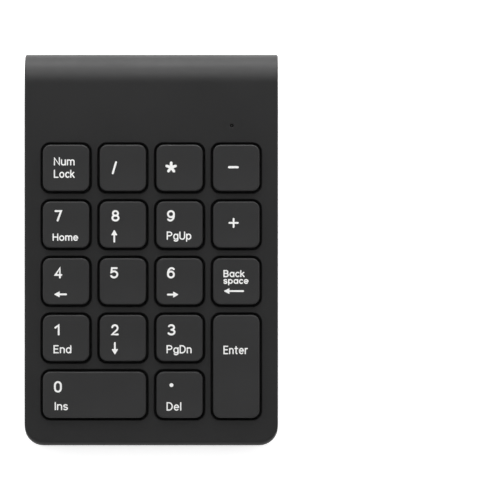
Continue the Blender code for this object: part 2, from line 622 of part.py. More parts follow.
mat = sheet("dome_mat", MAT, False)
join(mat, group("domes", [rod("dome", p, 3.2, MAT[0] + 0.25, DOME_TOP, 10, 1.9) for p in sites]))
cut(mat, group("hollows", [rod("hollow", p, 2.7, MAT[0] - 0.3, DOME_TOP - 0.9, 10, 1.5) for p in sites]))
finish(tidy(mat), "dome_mat", (0.5, 0.5, 0.48), 0.6)
finish(tidy(sheet("membrane_top", TOP_FILM, False)), "membrane_top", (0.35, 0.45, 0.42), 0.3)
finish(tidy(sheet("membrane_spacer", SPACER, True, 2.4)), "membrane_spacer", (0.5, 0.55, 0.52), 0.35)
finish(tidy(sheet("membrane_bottom", LOW_FILM, False, 0, True)), "membrane_bottom", (0.35, 0.45, 0.42), 0.3)
finish(tidy(sheet("backing_plate", PLATE, False)), "backing_plate", (0.5, 0.5, 0.5), 0.35, 1.0)

# ------------------------------------------------------------------ electronics
board = block("controller_board", (-BOARD_X, BOARD_X), (BOARD_Y0, BOARD_Y1), BOARD)
cut(board, group("holes", [rod("hole", (s * CLAMP_X, CLAMP_Y), 1.0, -9, -4, 10) for s in (-1, 1)]))
finish(tidy(board), "controller_board", (0.02, 0.16, 0.06), 0.4)
finish(block("controller_chip", (-10.5, -5.5), (105.9, 110.9), (BOARD[1] + 0.05, BOARD[1] + 0.95)), "controller_chip", (0.01, 0.01, 0.01), 0.4)
finish(block("crystal", (-1.6, 1.6), (107.2, 109.7), (BOARD[1] + 0.05, BOARD[1] + 0.85)), "crystal", (0.6, 0.6, 0.6), 0.25, 1.0)
finish(block("status_led", (LED_X - 0.8, LED_X + 0.8), (LED_Y - 0.6, LED_Y + 0.6), (BOARD[1] + 0.05, -4.9)), "status_led", (0.7, 0.7, 0.6), 0.3)
lens = turned("indicator_lens", [(0, 0.05), (0.58, 0.0), (0.58, -2.0), (1.4, -2.0), (1.4, -2.8), (0, -2.8)], (LED_X, LED_Y, 0), segments=14)
finish(lens, "indicator_lens", (0.03, 0.03, 0.03), 0.1)
bar = block("membrane_clamp_bar", (-16.5, 16.5), (107.2, 110.8), (-8.0, -7.25))
cut(bar, group("holes", [rod("hole", (s * CLAMP_X, CLAMP_Y), 1.0, -9, -4, 10) for s in (-1, 1)]))
finish(tidy(bar), "membrane_clamp_bar", (0.03, 0.03, 0.03), 0.6)
finish(block("slide_switch_body", (SWITCH_X - 3.2, SWITCH_X + 5.4), (107.7, 111.2), (-8.7, BOARD[0] - 0.05)), "slide_switch_body", (0.5, 0.5, 0.5), 0.3, 1.0)
knob_section = [(108.3, -8.85), (110.5, -8.85), (110.5, -13.5), (108.3, -11.7)]
knob = flat("power_switch_knob", knob_section[::-1], SWITCH_X - 1.8, SWITCH_X + 1.8, "X")
finish(knob, "power_switch_knob", (0.02, 0.02, 0.02), 0.45, origin=(SWITCH_X, 109.4, -11.0))


# ------------------------------------------------------------------ screws
def screw(name, x, y, seat, length, head_r, head_h, r):
    profile = [(0, seat + length), (r * 0.6, seat + length), (r, seat + length - 0.6), (r, seat), (head_r, seat),
               (head_r, seat - head_h + 0.25), (head_r - 0.3, seat - head_h), (0, seat - head_h)]
    finish(turned(name, profile, (x, y, 0), segments=12), name, (0.25, 0.25, 0.26), 0.35, 1.0, origin=(x, y, seat))


for side, s in (("left", -1), ("right", 1)):
    screw("case_screw_front_" + side, s * FRONT_SCREW[0], FRONT_SCREW[1], FRONT_SEAT, SCREW_L, HEAD_R, HEAD_H, SCREW_R)
    screw("case_screw_rear_" + side, s * REAR_SCREW[0], REAR_SCREW[1], REAR_SEAT, SCREW_L, HEAD_R, HEAD_H, SCREW_R)
    screw("clamp_screw_" + side, s * CLAMP_X, CLAMP_Y, -8.05, 4.2, 1.4, 0.65, 0.8)

# ------------------------------------------------------------------ battery and contacts
cell = turned("battery_cell", [(0, NUB_X), (2.6, NUB_X), (2.75, NUB_X - 0.2), (2.75, CELL_X1), (CELL_R - 0.5, CELL_X1),
                               (CELL_R, CELL_X1 - 0.5), (CELL_R, CELL_X0 + 0.4), (CELL_R - 0.4, CELL_X0), (0, CELL_X0)],
              (0, BARREL_Y, BARREL_Z), "X", 24)
finish(cell, "battery_cell", (0.12, 0.25, 0.4), 0.35)
plate = block("battery_plate_contact", CONTACT_X, (BARREL_Y - 4, BARREL_Y + 4), (BARREL_Z - 4, BARREL_Z + 4))
join(plate, rod("bump", (BARREL_Y, BARREL_Z), 1.5, NUB_X + 0.1, CONTACT_X[0] + 0.1, 12, 2.6, "X"))
finish(tidy(plate), "battery_plate_contact", (0.6, 0.58, 0.5), 0.3, 1.0)
turns, per = 3, 10
reach = (-CONTACT_X[0] + 0.2, CELL_X0 - 0.45)
coil = []
for i in range(turns * per + 1):
    t = i / (turns * per)
    a, r = 2 * math.pi * i / per, 3.1 - 1.0 * t
    coil.append((reach[0] + (reach[1] - reach[0]) * t, BARREL_Y + r * math.cos(a), BARREL_Z + r * math.sin(a)))
spring = block("battery_spring_contact", (-CONTACT_X[1], -CONTACT_X[0]), (BARREL_Y - 4, BARREL_Y + 4), (BARREL_Z - 4, BARREL_Z + 4))
join(spring, tube("coil", coil, 0.33, 2))
finish(spring, "battery_spring_contact", (0.6, 0.6, 0.6), 0.25, 1.0)
for name, s, colour in (("battery_wire_black", -1, (0.01, 0.01, 0.01)), ("battery_wire_red", 1, (0.45, 0.01, 0.01))):
    path = [(s * 26.9, 117.2, -8.3), (s * 26.9, 115.9, -6.9), (s * 26.9, 114.2, -5.6), (s * 26.9, 112.6, -4.9),
            (s * 26.6, 111.4, -4.7), (s * 26.3, 110.4, -4.8), (s * 26.2, 109.8, -5.4)]
    finish(tube(name, path, 0.5, 2), name, colour, 0.45)

for helper in list(helpers.objects):
    bpy.data.objects.remove(helper, do_unlink=True)
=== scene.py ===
"""Looks for the wireless numeric keypad: finer shells, keycaps with printed legends, feet, screws, cell and materials,
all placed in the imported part's own frame. Lengths in the shape code are millimetres in the deck's frame: X to the
user's right, Y from the front edge to the barrel, Z out of the deck, z = 0 on the deck's top face."""

import json
import math

import bmesh
import bpy
from mathutils import Matrix, Vector
from mathutils.geometry import delaunay_2d_cdt


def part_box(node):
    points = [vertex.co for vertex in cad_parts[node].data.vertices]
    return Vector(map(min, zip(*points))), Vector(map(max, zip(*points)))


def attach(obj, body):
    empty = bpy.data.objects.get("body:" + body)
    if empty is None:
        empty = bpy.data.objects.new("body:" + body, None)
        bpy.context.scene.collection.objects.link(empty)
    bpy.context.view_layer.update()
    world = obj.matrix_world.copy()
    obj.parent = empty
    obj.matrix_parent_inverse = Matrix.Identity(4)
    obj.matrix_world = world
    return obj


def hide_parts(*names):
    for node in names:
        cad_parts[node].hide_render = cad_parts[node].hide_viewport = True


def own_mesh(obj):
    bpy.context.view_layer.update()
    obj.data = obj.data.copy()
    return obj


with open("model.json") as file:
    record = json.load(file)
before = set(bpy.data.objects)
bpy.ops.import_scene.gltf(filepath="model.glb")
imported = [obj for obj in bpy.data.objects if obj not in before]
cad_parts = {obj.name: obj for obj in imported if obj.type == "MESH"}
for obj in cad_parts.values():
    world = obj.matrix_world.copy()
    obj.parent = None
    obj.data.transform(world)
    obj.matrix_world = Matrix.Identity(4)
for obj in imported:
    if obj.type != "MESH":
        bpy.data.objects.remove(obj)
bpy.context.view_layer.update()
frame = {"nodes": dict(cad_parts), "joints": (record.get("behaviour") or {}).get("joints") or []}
nodes = frame["nodes"]

# ---- the deck's frame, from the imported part: the keys press straight into the deck, the board is a plain block ----
press = Vector(next(j for j in frame["joints"] if j["name"] == "key_5_press")["axis"])
TILT = math.atan2(press.y, -press.z)
low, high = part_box("controller_board")
DECK = Matrix.Rotation(TILT, 4, "X")
DECK = Matrix.Translation((low + high) / 2 - DECK @ (Vector((0, 108.4, -6.4)) * 0.001)) @ DECK

# ---- sizes of the CAD part ----
HALF, CORNER_R, DECK_T, FRONT_WALL, SEAM_Z = 42.5, 6.3, 1.8, 3.4, -5.0
LIP_Y, UNDER_Z, FLOOR_Z, LOWER_T, NECK_Y = 16.0, -9.4, -7.8, 1.6, 104.6
BARREL_Y, BARREL_Z, BARREL_R, BARREL_IN = 121.0, -10.75, 10.4, 8.7
NECK_ANGLE = -112.0
NECK = [(115.6, -19.25), (113.9, -17.35), (112.2, -15.15), (110.4, -13.1), (108.4, -11.4), (106.4, -10.2)]
CHEEK_IN, LOWER_HALF = 40.7, 40.4
PITCH, OPENING, OPENING_R = 19.0, 16.9, 3.0
CAP, CAP_R, CAP_TOP, CAP_SKIRT, CAP_CEIL, CAP_WALL = 15.6, 2.6, 2.3, -1.4, 1.1, 1.1
COL_X, ROW_Y = [-28.5, -9.5, 9.5, 28.5], 17.1
LED = (27.0, 107.3)
DOOR_DIR, DOOR_HALF, BAY_X, GAP = math.radians(-64.0), 7.4, 26.5, 0.2
FRONT_SCREW, FRONT_SEAT, REAR_SCREW, REAR_SEAT = (19.0, 6.6), -7.85, (36.0, 108.5), -9.25
HEAD_R, HEAD_H = 1.5, 1.1
FRONT_FOOT, REAR_FOOT_X, REAR_FOOT_L, FOOT_REACH = (32.0, 9.6, 13.0, 8.8), 34.0, 8.0, 11.15
SWITCH_X = -24.0
CELL_R, CELL_X0, CELL_X1, NUB_X = 7.15, -24.8, 24.7, 25.7
CONTACT_X = (27.6, 27.9)

KEYS = {}
for row, names in enumerate([("key_1", "key_2", "key_3"), ("key_4", "key_5", "key_6", "key_backspace"),
                             ("key_7", "key_8", "key_9", "key_plus"),
                             ("key_num_lock", "key_divide", "key_multiply", "key_minus")]):
    for col, key in enumerate(names):
        KEYS[key] = (COL_X[col], ROW_Y + PITCH * (row + 1), 1, 1)
KEYS["key_0"] = (-19.0, ROW_Y, 2, 1)
KEYS["key_decimal"] = (COL_X[2], ROW_Y, 1, 1)
KEYS["key_enter"] = (COL_X[3], ROW_Y + PITCH / 2, 1, 2)


# ------------------------------------------------------------------ shape tools
def placed(name, bm, at):
    """A bmesh in the deck's frame as an object at the point `at` of that frame, the deck's tilt in its mesh."""
    bmesh.ops.transform(bm, matrix=Matrix.Rotation(TILT, 4, "X") @ Matrix.Scale(0.001, 4), verts=bm.verts)
    mesh = bpy.data.meshes.new(name)
    bm.to_mesh(mesh)
    bm.free()
    obj = bpy.data.objects.new(name, mesh)
    bpy.context.scene.collection.objects.link(obj)
    obj.location = DECK @ (Vector(at) * 0.001)
    return obj


def made(name, bm, at=(0, 0, 0), weld=True, sharp=35):
    """A bmesh in millimetres as an object in the deck's frame."""
    if weld:
        bmesh.ops.remove_doubles(bm, verts=bm.verts, dist=1e-3)
    bmesh.ops.recalc_face_normals(bm, faces=bm.faces)
    obj = placed(name, bm, at)
    obj.data.shade_smooth()
    obj.data.set_sharp_from_angle(angle=math.radians(sharp))
    return obj


def weighted(obj):
    step = obj.modifiers.new("even_shading", "WEIGHTED_NORMAL")
    step.keep_sharp = True
    step.weight = 100
    return obj


def rounded(cx, cy, w, h, r, n=8, m=1):
    """Rounded rectangle, anticlockwise from the lower right corner, m pieces along each straight side."""
    points = []
    corners = [(1, -1, -90), (1, 1, 0), (-1, 1, 90), (-1, -1, 180)]
    for k, (sx, sy, start) in enumerate(corners):
        for i in range(n + 1):
            a = math.radians(start + 90 * i / n)
            points.append((cx + sx * (w / 2 - r) + r * math.cos(a), cy + sy * (h / 2 - r) + r * math.sin(a)))
        tx, ty, tstart = corners[(k + 1) % 4]
        a = math.radians(tstart)
        end = (cx + tx * (w / 2 - r) + r * math.cos(a), cy + ty * (h / 2 - r) + r * math.sin(a))
        last = points[-1]
        for i in range(1, m):
            points.append((last[0] + (end[0] - last[0]) * i / m, last[1] + (end[1] - last[1]) * i / m))
    return points


def skin(bm, rings, close=(True, True), cyclic=True):
    loops = [[bm.verts.new(p) for p in ring] for ring in rings]
    count = len(loops[0])
    for a, b in zip(loops, loops[1:]):
        for i in range(count if cyclic else count - 1):
            j = (i + 1) % count
            bm.faces.new((a[i], a[j], b[j], b[i]))
    if close[0]:
        bm.faces.new(loops[0])
    if close[1]:
        bm.faces.new(loops[-1])
    return loops


def block(bm, x, y, z, bevel=0.0, turn=0.0, about=(0, 0, 0)):
    made_here = bmesh.ops.create_cube(bm, size=1.0)["verts"]
    bmesh.ops.scale(bm, vec=(x[1] - x[0], y[1] - y[0], z[1] - z[0]), verts=made_here)
    bmesh.ops.translate(bm, vec=((x[0] + x[1]) / 2, (y[0] + y[1]) / 2, (z[0] + z[1]) / 2), verts=made_here)
    if turn:
        bmesh.ops.rotate(bm, verts=made_here, cent=about, matrix=Matrix.Rotation(turn, 3, "Z"))
    if bevel:
        edges = list({e for v in made_here for e in v.link_edges})
        bmesh.ops.bevel(bm, geom=edges, offset=bevel, segments=2, profile=0.5, affect="EDGES")


def rod(bm, centre, radius, low, high, segments=24, axis="Z", top=None):
    verts = bmesh.ops.create_cone(bm, cap_ends=True, segments=segments, radius1=radius,
                                  radius2=radius if top is None else top, depth=high - low)["verts"]
    if axis == "X":
        bmesh.ops.rotate(bm, verts=verts, matrix=Matrix.Rotation(math.pi / 2, 3, "Y"))
        place = ((low + high) / 2, centre[0], centre[1])
    else:
        place = (centre[0], centre[1], (low + high) / 2)
    bmesh.ops.translate(bm, vec=place, verts=verts)


def turned(bm, profile, centre, axis="Z", segments=48):
    """Revolves (radius, height) pairs round the axis; radius 0 ends are closed."""
    rings = []
    for r, h in profile:
        r = max(r, 1e-4)
        ring = []
        for i in range(segments):
            a = 2 * math.pi * i / segments
            if axis == "X":
                ring.append((centre[0] + h, centre[1] + r * math.cos(a), centre[2] + r * math.sin(a)))
            else:
                ring.append((centre[0] + r * math.cos(a), centre[1] + r * math.sin(a), centre[2] + h))
        rings.append(ring)
    skin(bm, rings)


def on_barrel(radius, degrees):
    a = math.radians(degrees)
    return (BARREL_Y + radius * math.cos(a), BARREL_Z + radius * math.sin(a))


def arc(radius, start, end, steps):
    return [on_barrel(radius, start + (end - start) * i / steps) for i in range(steps + 1)]


def smooth_path(points, steps):
    """Catmull-Rom through the points."""
    p = [Vector(q) for q in points]
    p = [p[0] * 2 - p[1]] + p + [p[-1] * 2 - p[-2]]
    out = []
    for a, b, c, d in zip(p, p[1:], p[2:], p[3:]):
        for i in range(steps):
            t = i / steps
            out.append(0.5 * ((2 * b) + (c - a) * t + (2 * a - 5 * b + 4 * c - d) * t * t + (3 * b - a - 3 * c + d) * t ** 3))
    out.append(p[-2])
    return [tuple(q) for q in out]


def offset(path, d):
    """The open path moved d to its left."""
    out = []
    for i, p in enumerate(path):
        p = Vector(p)
        before = (p - Vector(path[i - 1])).normalized() if i else None
        after = (Vector(path[i + 1]) - p).normalized() if i < len(path) - 1 else None
        before, after = before or after, after or before
        n1, n2 = Vector((-before.y, before.x)), Vector((-after.y, after.x))
        mid = (n1 + n2).normalized()
        out.append(tuple(p + mid * (d / max(0.5, mid.dot(n1)))))
    return out


def deck_z(y):
    if y < LIP_Y:
        return -((LIP_Y - y) / 14.0) ** 2
    if y > NECK_Y:
        return (BARREL_Z + BARREL_R) * ((y - NECK_Y) / (BARREL_Y - NECK_Y)) ** 2
    return 0.0


def front_y(x):
    """How far back the rounded front corner has come at x."""
    over = abs(x) - (HALF - CORNER_R)
    return CORNER_R - math.sqrt(max(0.0, CORNER_R ** 2 - over ** 2)) if over > 0 else 0.0


def settled(x, y, z):
    """A point of the straight extrusion, moved for the rounded front corners and the falling front lip."""
    if y < LIP_Y:
        y = y + front_y(x) * (1 - max(y, 0.0) / LIP_Y)
    if y < LIP_Y:
        z = z + deck_z(y) * min(1.0, max(0.0, (z + 5) / 5))
    return (x, y, z)


class Opening:
    """A rounded rectangle in plan, with its distance and outward direction."""

    def __init__(self, cx, cy, w, h, r):
        self.c, self.w, self.h, self.r = (cx, cy), w, h, r

    def grown(self, d):
        return Opening(*self.c, self.w + 2 * d, self.h + 2 * d, self.r + d)

    def loop(self, n=8):
        return rounded(*self.c, self.w, self.h, self.r, n)

    def q(self, x, y):
        return (abs(x - self.c[0]) - (self.w / 2 - self.r), abs(y - self.c[1]) - (self.h / 2 - self.r))

    def distance(self, x, y):
        a, b = self.q(x, y)
        if a > 0 and b > 0:
            return math.hypot(a, b) - self.r
        return max(a, b) - self.r

    def outward(self, x, y):
        a, b = self.q(x, y)
        sx, sy = math.copysign(1, x - self.c[0]), math.copysign(1, y - self.c[1])
        if a > 0 and b > 0:
            size = math.hypot(a, b)
            return (sx * a / size, sy * b / size)
        return (sx, 0.0) if a > b else (0.0, sy)


def filled(bm, lines, closed_lines, holes, height):
    """A sheet over the convex hull of all lines, keeping every line as an edge, open inside the holes."""
    points, edges = [], []
    for line in lines:
        edges += [(len(points) + i, len(points) + i + 1) for i in range(len(line) - 1)]
        points += [Vector(p) for p in line]
    for line in closed_lines:
        edges += [(len(points) + i, len(points) + (i + 1) % len(line)) for i in range(len(line))]
        points += [Vector(p) for p in line]
    verts, _, faces, *_ = delaunay_2d_cdt(points, edges, [], 0, 1e-5)
    new = [bm.verts.new((p.x, p.y, height(p.x, p.y))) for p in verts]
    for face in faces:
        middle = sum((verts[i] for i in face), Vector((0, 0))) / len(face)
        if any(hole.distance(middle.x, middle.y) < 0 for hole in holes):
            continue
        bm.faces.new([new[i] for i in face])
    for v in new:
        if not v.link_faces:
            bm.verts.remove(v)


def opening_walls(bm, holes, fillet, under):
    """Rounds the rim of each hole that a filled sheet leaves, and drops its wall."""
    columns = {}
    for edge in [e for e in bm.edges if len(e.link_faces) == 1]:
        middle = (edge.verts[0].co + edge.verts[1].co) / 2
        hole = next((h for h in holes if abs(h.distance(middle.x, middle.y)) < 0.06), None)
        if hole is None:
            continue
        pair = []
        for v in edge.verts:
            if v not in columns:
                nx, ny = hole.outward(v.co.x, v.co.y)
                column = [v]
                for k in range(1, 5):
                    t = math.pi / 2 * k / 4
                    column.append(bm.verts.new((v.co.x - nx * fillet * math.sin(t), v.co.y - ny * fillet * math.sin(t),
                                                v.co.z - fillet * (1 - math.cos(t)))))
                end = column[-1].co
                column.append(bm.verts.new((end.x, end.y, under(end.x, end.y))))
                columns[v] = column
            pair.append(columns[v])
        for k in range(5):
            bm.faces.new((pair[0][k], pair[1][k], pair[1][k + 1], pair[0][k + 1]))


# ------------------------------------------------------------------ upper shell
def upper_shell():
    nose = [(2 + 2 * math.cos(math.radians(a)), -2.5 + 2.5 * math.sin(math.radians(a)))
            for a in [-90 - 180 * i / 18 for i in range(19)]]
    lip_ys = [3.0, 4.2, 5.4, 6.6, 7.8, 9.0, 10.2, 11.4, 12.6, 14.2, LIP_Y]
    rear_ys = [NECK_Y, 106.4, 108.2, 110.0]
    first = [(FRONT_WALL, SEAM_Z)] + nose
    over = [(y, 0.0) for y in lip_ys] + [(y, deck_z(y)) for y in rear_ys + [112.5, 115.0, 118.0]]
    barrel_a, barrel_b = arc(BARREL_R, 90, 1, 20), arc(BARREL_R, 1, NECK_ANGLE, 24)[1:]
    tail = smooth_path([barrel_b[-1]] + NECK + [(NECK_Y, UNDER_Z)], 3)[1:] + [(NECK_Y, SEAM_Z)]
    bottom = [(y, SEAM_Z) for y in (60.0, LIP_Y, 12.0, 9.0, 6.5)]
    profile = first + over + barrel_a + barrel_b + tail + bottom
    count = len(profile)
    i_fill0, i_fill1 = len(first) - 1, len(first) + len(lip_ys) + len(rear_ys) - 1
    i_end = len(first) + len(over) + len(barrel_a) - 1
    area = sum(profile[i][0] * profile[(i + 1) % count][1] - profile[(i + 1) % count][0] * profile[i][1] for i in range(count))
    inward = []
    for i in range(count):
        a, b, c = Vector(profile[i - 1]), Vector(profile[i]), Vector(profile[(i + 1) % count])
        d1, d2 = (b - a), (c - b)
        n = Vector((0, 0))
        for d in (d1, d2):
            if d.length > 1e-9:
                n += Vector((-d.y, d.x)).normalized()
        inward.append(n.normalized() * (1 if area > 0 else -1))
    rim = 0.6
    stations = [(HALF - rim + rim * math.sin(math.radians(t)), rim * (1 - math.cos(math.radians(t)))) for t in (0, 15, 30, 45, 60, 75, 90)]
    stations = [(x, 0.0) for x in (0, 9, 18, 27, 36.2, 37.4, 38.6, 39.7, CHEEK_IN, 41.35)] + stations
    stations = [(-x, d) for x, d in stations[:0:-1]] + stations
    bm = bmesh.new()
    grid = []
    for x, d in stations:
        grid.append([bm.verts.new(settled(x, y + n.x * d, z + n.y * d)) for (y, z), n in zip(profile, inward)])
    flat_x = HALF - rim + 1e-6
    for (x0, _), (x1, _), a, b in zip(stations, stations[1:], grid, grid[1:]):
        cheek = min(abs(x0), abs(x1)) >= CHEEK_IN - 1e-6
        for i in range(count):
            j = (i + 1) % count
            if i_fill0 <= i < i_fill1 and max(abs(x0), abs(x1)) <= flat_x:
                continue
            if not cheek and i >= i_end:
                continue
            bm.faces.new((a[i], a[j], b[j], b[i]))
    bm.faces.new(grid[0])
    bm.faces.new(grid[-1])

    # the deck between the rims, with its openings
    keys = [Opening(x, y, OPENING + PITCH * (c - 1), OPENING + PITCH * (r - 1), OPENING_R) for x, y, c, r in KEYS.values()]
    lamp = Opening(*LED, 1.4, 1.4, 0.7)
    inner = [x for x, d in stations if abs(x) <= flat_x]
    lines = []
    for y in [2.0] + lip_ys + rear_ys:
        lines.append([settled(x, y, 0.0)[:2] for x in inner])
    for x in (inner[0], inner[-1]):
        lines.append([settled(x, y, 0.0)[:2] for y in [2.0] + lip_ys + rear_ys])
    wide = [k.grown(0.3) for k in keys] + [lamp.grown(0.12)]
    sheet = bmesh.new()
    filled(sheet, lines, [w.loop() for w in wide], wide, lambda x, y: deck_z(y))
    def under(x, y):
        return deck_z(y) * (0.64 if y < LIP_Y else 1.0) - DECK_T

    opening_walls(sheet, wide[:-1], 0.3, under)
    opening_walls(sheet, wide[-1:], 0.12, under)
    add_to(bm, sheet)

    # inside: front and side walls, the deck's underside, the barrel's inner wall
    ys = [4.6] + lip_ys[2:] + rear_ys
    inside = [(FRONT_WALL, SEAM_Z), (FRONT_WALL, -2.6), (3.7, -2.1), (4.6, -DECK_T)]
    inside += [(y, -DECK_T) for y in lip_ys[2:]] + [(y, deck_z(y) - DECK_T) for y in rear_ys + [112.5, 115.0]]
    k0, k1 = 3, 3 + len(lip_ys[2:]) + len(rear_ys)
    inside += arc(BARREL_IN, 100, 1, 20) + [on_barrel(BARREL_R, 1)]
    xs = [x for x, _ in stations if abs(x) <= CHEEK_IN + 1e-6]
    grid = [[bm.verts.new(settled(x, y, z)) for y, z in inside] for x in xs]
    for a, b in zip(grid, grid[1:]):
        for i in range(len(inside) - 1):
            if not k0 <= i < k1:
                bm.faces.new((a[i], b[i], b[i + 1], a[i + 1]))
    lines = [[settled(x, y, -DECK_T)[:2] for x in xs] for y in ys]
    for x in (xs[0], xs[-1]):
        lines.append([settled(x, y, -DECK_T)[:2] for y in ys])
    sheet = bmesh.new()
    filled(sheet, lines, [k.loop() for k in keys + [lamp]], keys + [lamp], under)
    add_to(bm, sheet)
    for x in (-CHEEK_IN, CHEEK_IN):
        outline = profile[i_end:] + inside[:-1]
        bm.faces.new([bm.verts.new(settled(x, y, z)) for y, z in outline])
    for px, py, r, end in ((0, 45.6, 0.9, -4.8), (0, 83.6, 0.9, -4.8), (19, 6.6, 1.9, -5.1), (-19, 6.6, 1.9, -5.1),
                           (36, 108.5, 1.9, -7.0), (-36, 108.5, 1.9, -7.0), (14, 109, 1.9, -5.8), (-14, 109, 1.9, -5.8)):
        rod(bm, (px, py), r, end, -1.7)
    bmesh.ops.remove_doubles(bm, verts=bm.verts, dist=1e-3)
    bmesh.ops.delete(bm, geom=[v for v in bm.verts if not v.link_faces], context="VERTS")
    bmesh.ops.holes_fill(bm, edges=[e for e in bm.edges if len(e.link_faces) == 1], sides=12)
    return weighted(made("upper_shell", bm))


def add_to(bm, other):
    mesh = bpy.data.meshes.new("part")
    other.to_mesh(mesh)
    other.free()
    bm.from_mesh(mesh)
    bpy.data.meshes.remove(mesh)


# ------------------------------------------------------------------ solids cut by Booleans, finer than the CAD's
def helper(bm, name="helper"):
    bmesh.ops.recalc_face_normals(bm, faces=bm.faces)
    mesh = bpy.data.meshes.new(name)
    bm.to_mesh(mesh)
    bm.free()
    obj = bpy.data.objects.new(name, mesh)
    bpy.context.scene.collection.objects.link(obj)
    return obj


def boolean(obj, other, operation):
    step = obj.modifiers.new("step", "BOOLEAN")
    step.operation, step.solver, step.object = operation, "EXACT", other
    bpy.context.view_layer.update()
    mesh = bpy.data.meshes.new_from_object(obj.evaluated_get(bpy.context.evaluated_depsgraph_get()))
    obj.modifiers.clear()
    obj.data = mesh
    bpy.data.objects.remove(other, do_unlink=True)
    return obj


def prism(outline, low, high, axis="Z"):
    """A helper solid: points are (x, y) for axis Z and (y, z) for axis X."""
    bm = bmesh.new()
    rings = [[(u, v, w) if axis == "Z" else (w, u, v) for u, v in outline] for w in (low, high)]
    skin(bm, rings)
    bmesh.ops.triangulate(bm, faces=[f for f in bm.faces if len(f.verts) > 4])
    return helper(bm)


def several(shapes):
    bm = bmesh.new()
    for obj in shapes:
        bm.from_mesh(obj.data)
        bpy.data.objects.remove(obj, do_unlink=True)
    return helper(bm)


def box_of(x, y, z):
    bm = bmesh.new()
    block(bm, x, y, z)
    return helper(bm)


def rod_of(*args, **more):
    bm = bmesh.new()
    rod(bm, *args, **more)
    return helper(bm)


def in_bay(x, u, w):
    d, l = (math.cos(DOOR_DIR), math.sin(DOOR_DIR)), (-math.sin(DOOR_DIR), math.cos(DOOR_DIR))
    obj = box_of(x, (-1, 1), (-1, 1))
    for v in obj.data.vertices:
        uu = (u[0] + u[1]) / 2 + (u[1] - u[0]) / 2 * v.co.y
        ww = (w[0] + w[1]) / 2 + (w[1] - w[0]) / 2 * v.co.z
        v.co.y, v.co.z = BARREL_Y + l[0] * uu + d[0] * ww, BARREL_Z + l[1] * uu + d[1] * ww
    bm = bmesh.new()
    bm.from_mesh(obj.data)
    bpy.data.objects.remove(obj, do_unlink=True)
    return helper(bm)


def foot_block(x, half_l, half_w, near, far):
    obj = box_of((x - half_l, x + half_l), (-half_w, half_w), (-far, -near))
    obj.data.transform(Matrix.Translation((0, BARREL_Y, BARREL_Z)) @ Matrix.Rotation(-TILT, 4, "X"))
    return obj


def finished(obj, name, bevel=0.0, at=(0, 0, 0), sharp=35):
    """A helper solid as a real piece, its edges softened when a bevel width is given."""
    bm = bmesh.new()
    bm.from_mesh(obj.data)
    bpy.data.objects.remove(obj, do_unlink=True)
    bmesh.ops.remove_doubles(bm, verts=bm.verts, dist=2e-4)
    bmesh.ops.dissolve_limit(bm, angle_limit=math.radians(0.05), verts=bm.verts, edges=bm.edges)
    bmesh.ops.translate(bm, vec=-Vector(at), verts=bm.verts)
    obj = made(name, bm, at, weld=False, sharp=sharp)
    if bevel:
        step = obj.modifiers.new("soft_edges", "BEVEL")
        step.width, step.segments, step.limit_method = bevel * 0.001, 2, "ANGLE"
        step.angle_limit = math.radians(50)
        step.use_clamp_overlap = True
        weighted(obj)
    return obj


def plan(inset, z, x_inset=0.6, y0=2.6, y1=104.4, r=5.2):
    w, front = 2 * (HALF - x_inset - inset), y0 + inset
    rr = max(0.5, r - 0.6 * inset)
    points = []
    for sx, sy, start, radius in ((1, -1, -90, rr), (1, 1, 0, 0.3), (-1, 1, 90, 0.3), (-1, -1, 180, rr)):
        for i in range(9):
            a = math.radians(start + 90 * i / 8)
            cy = front + radius if sy < 0 else y1 - radius
            points.append((sx * (w / 2 - radius) + radius * math.cos(a), cy + radius * math.sin(a), z))
    return points


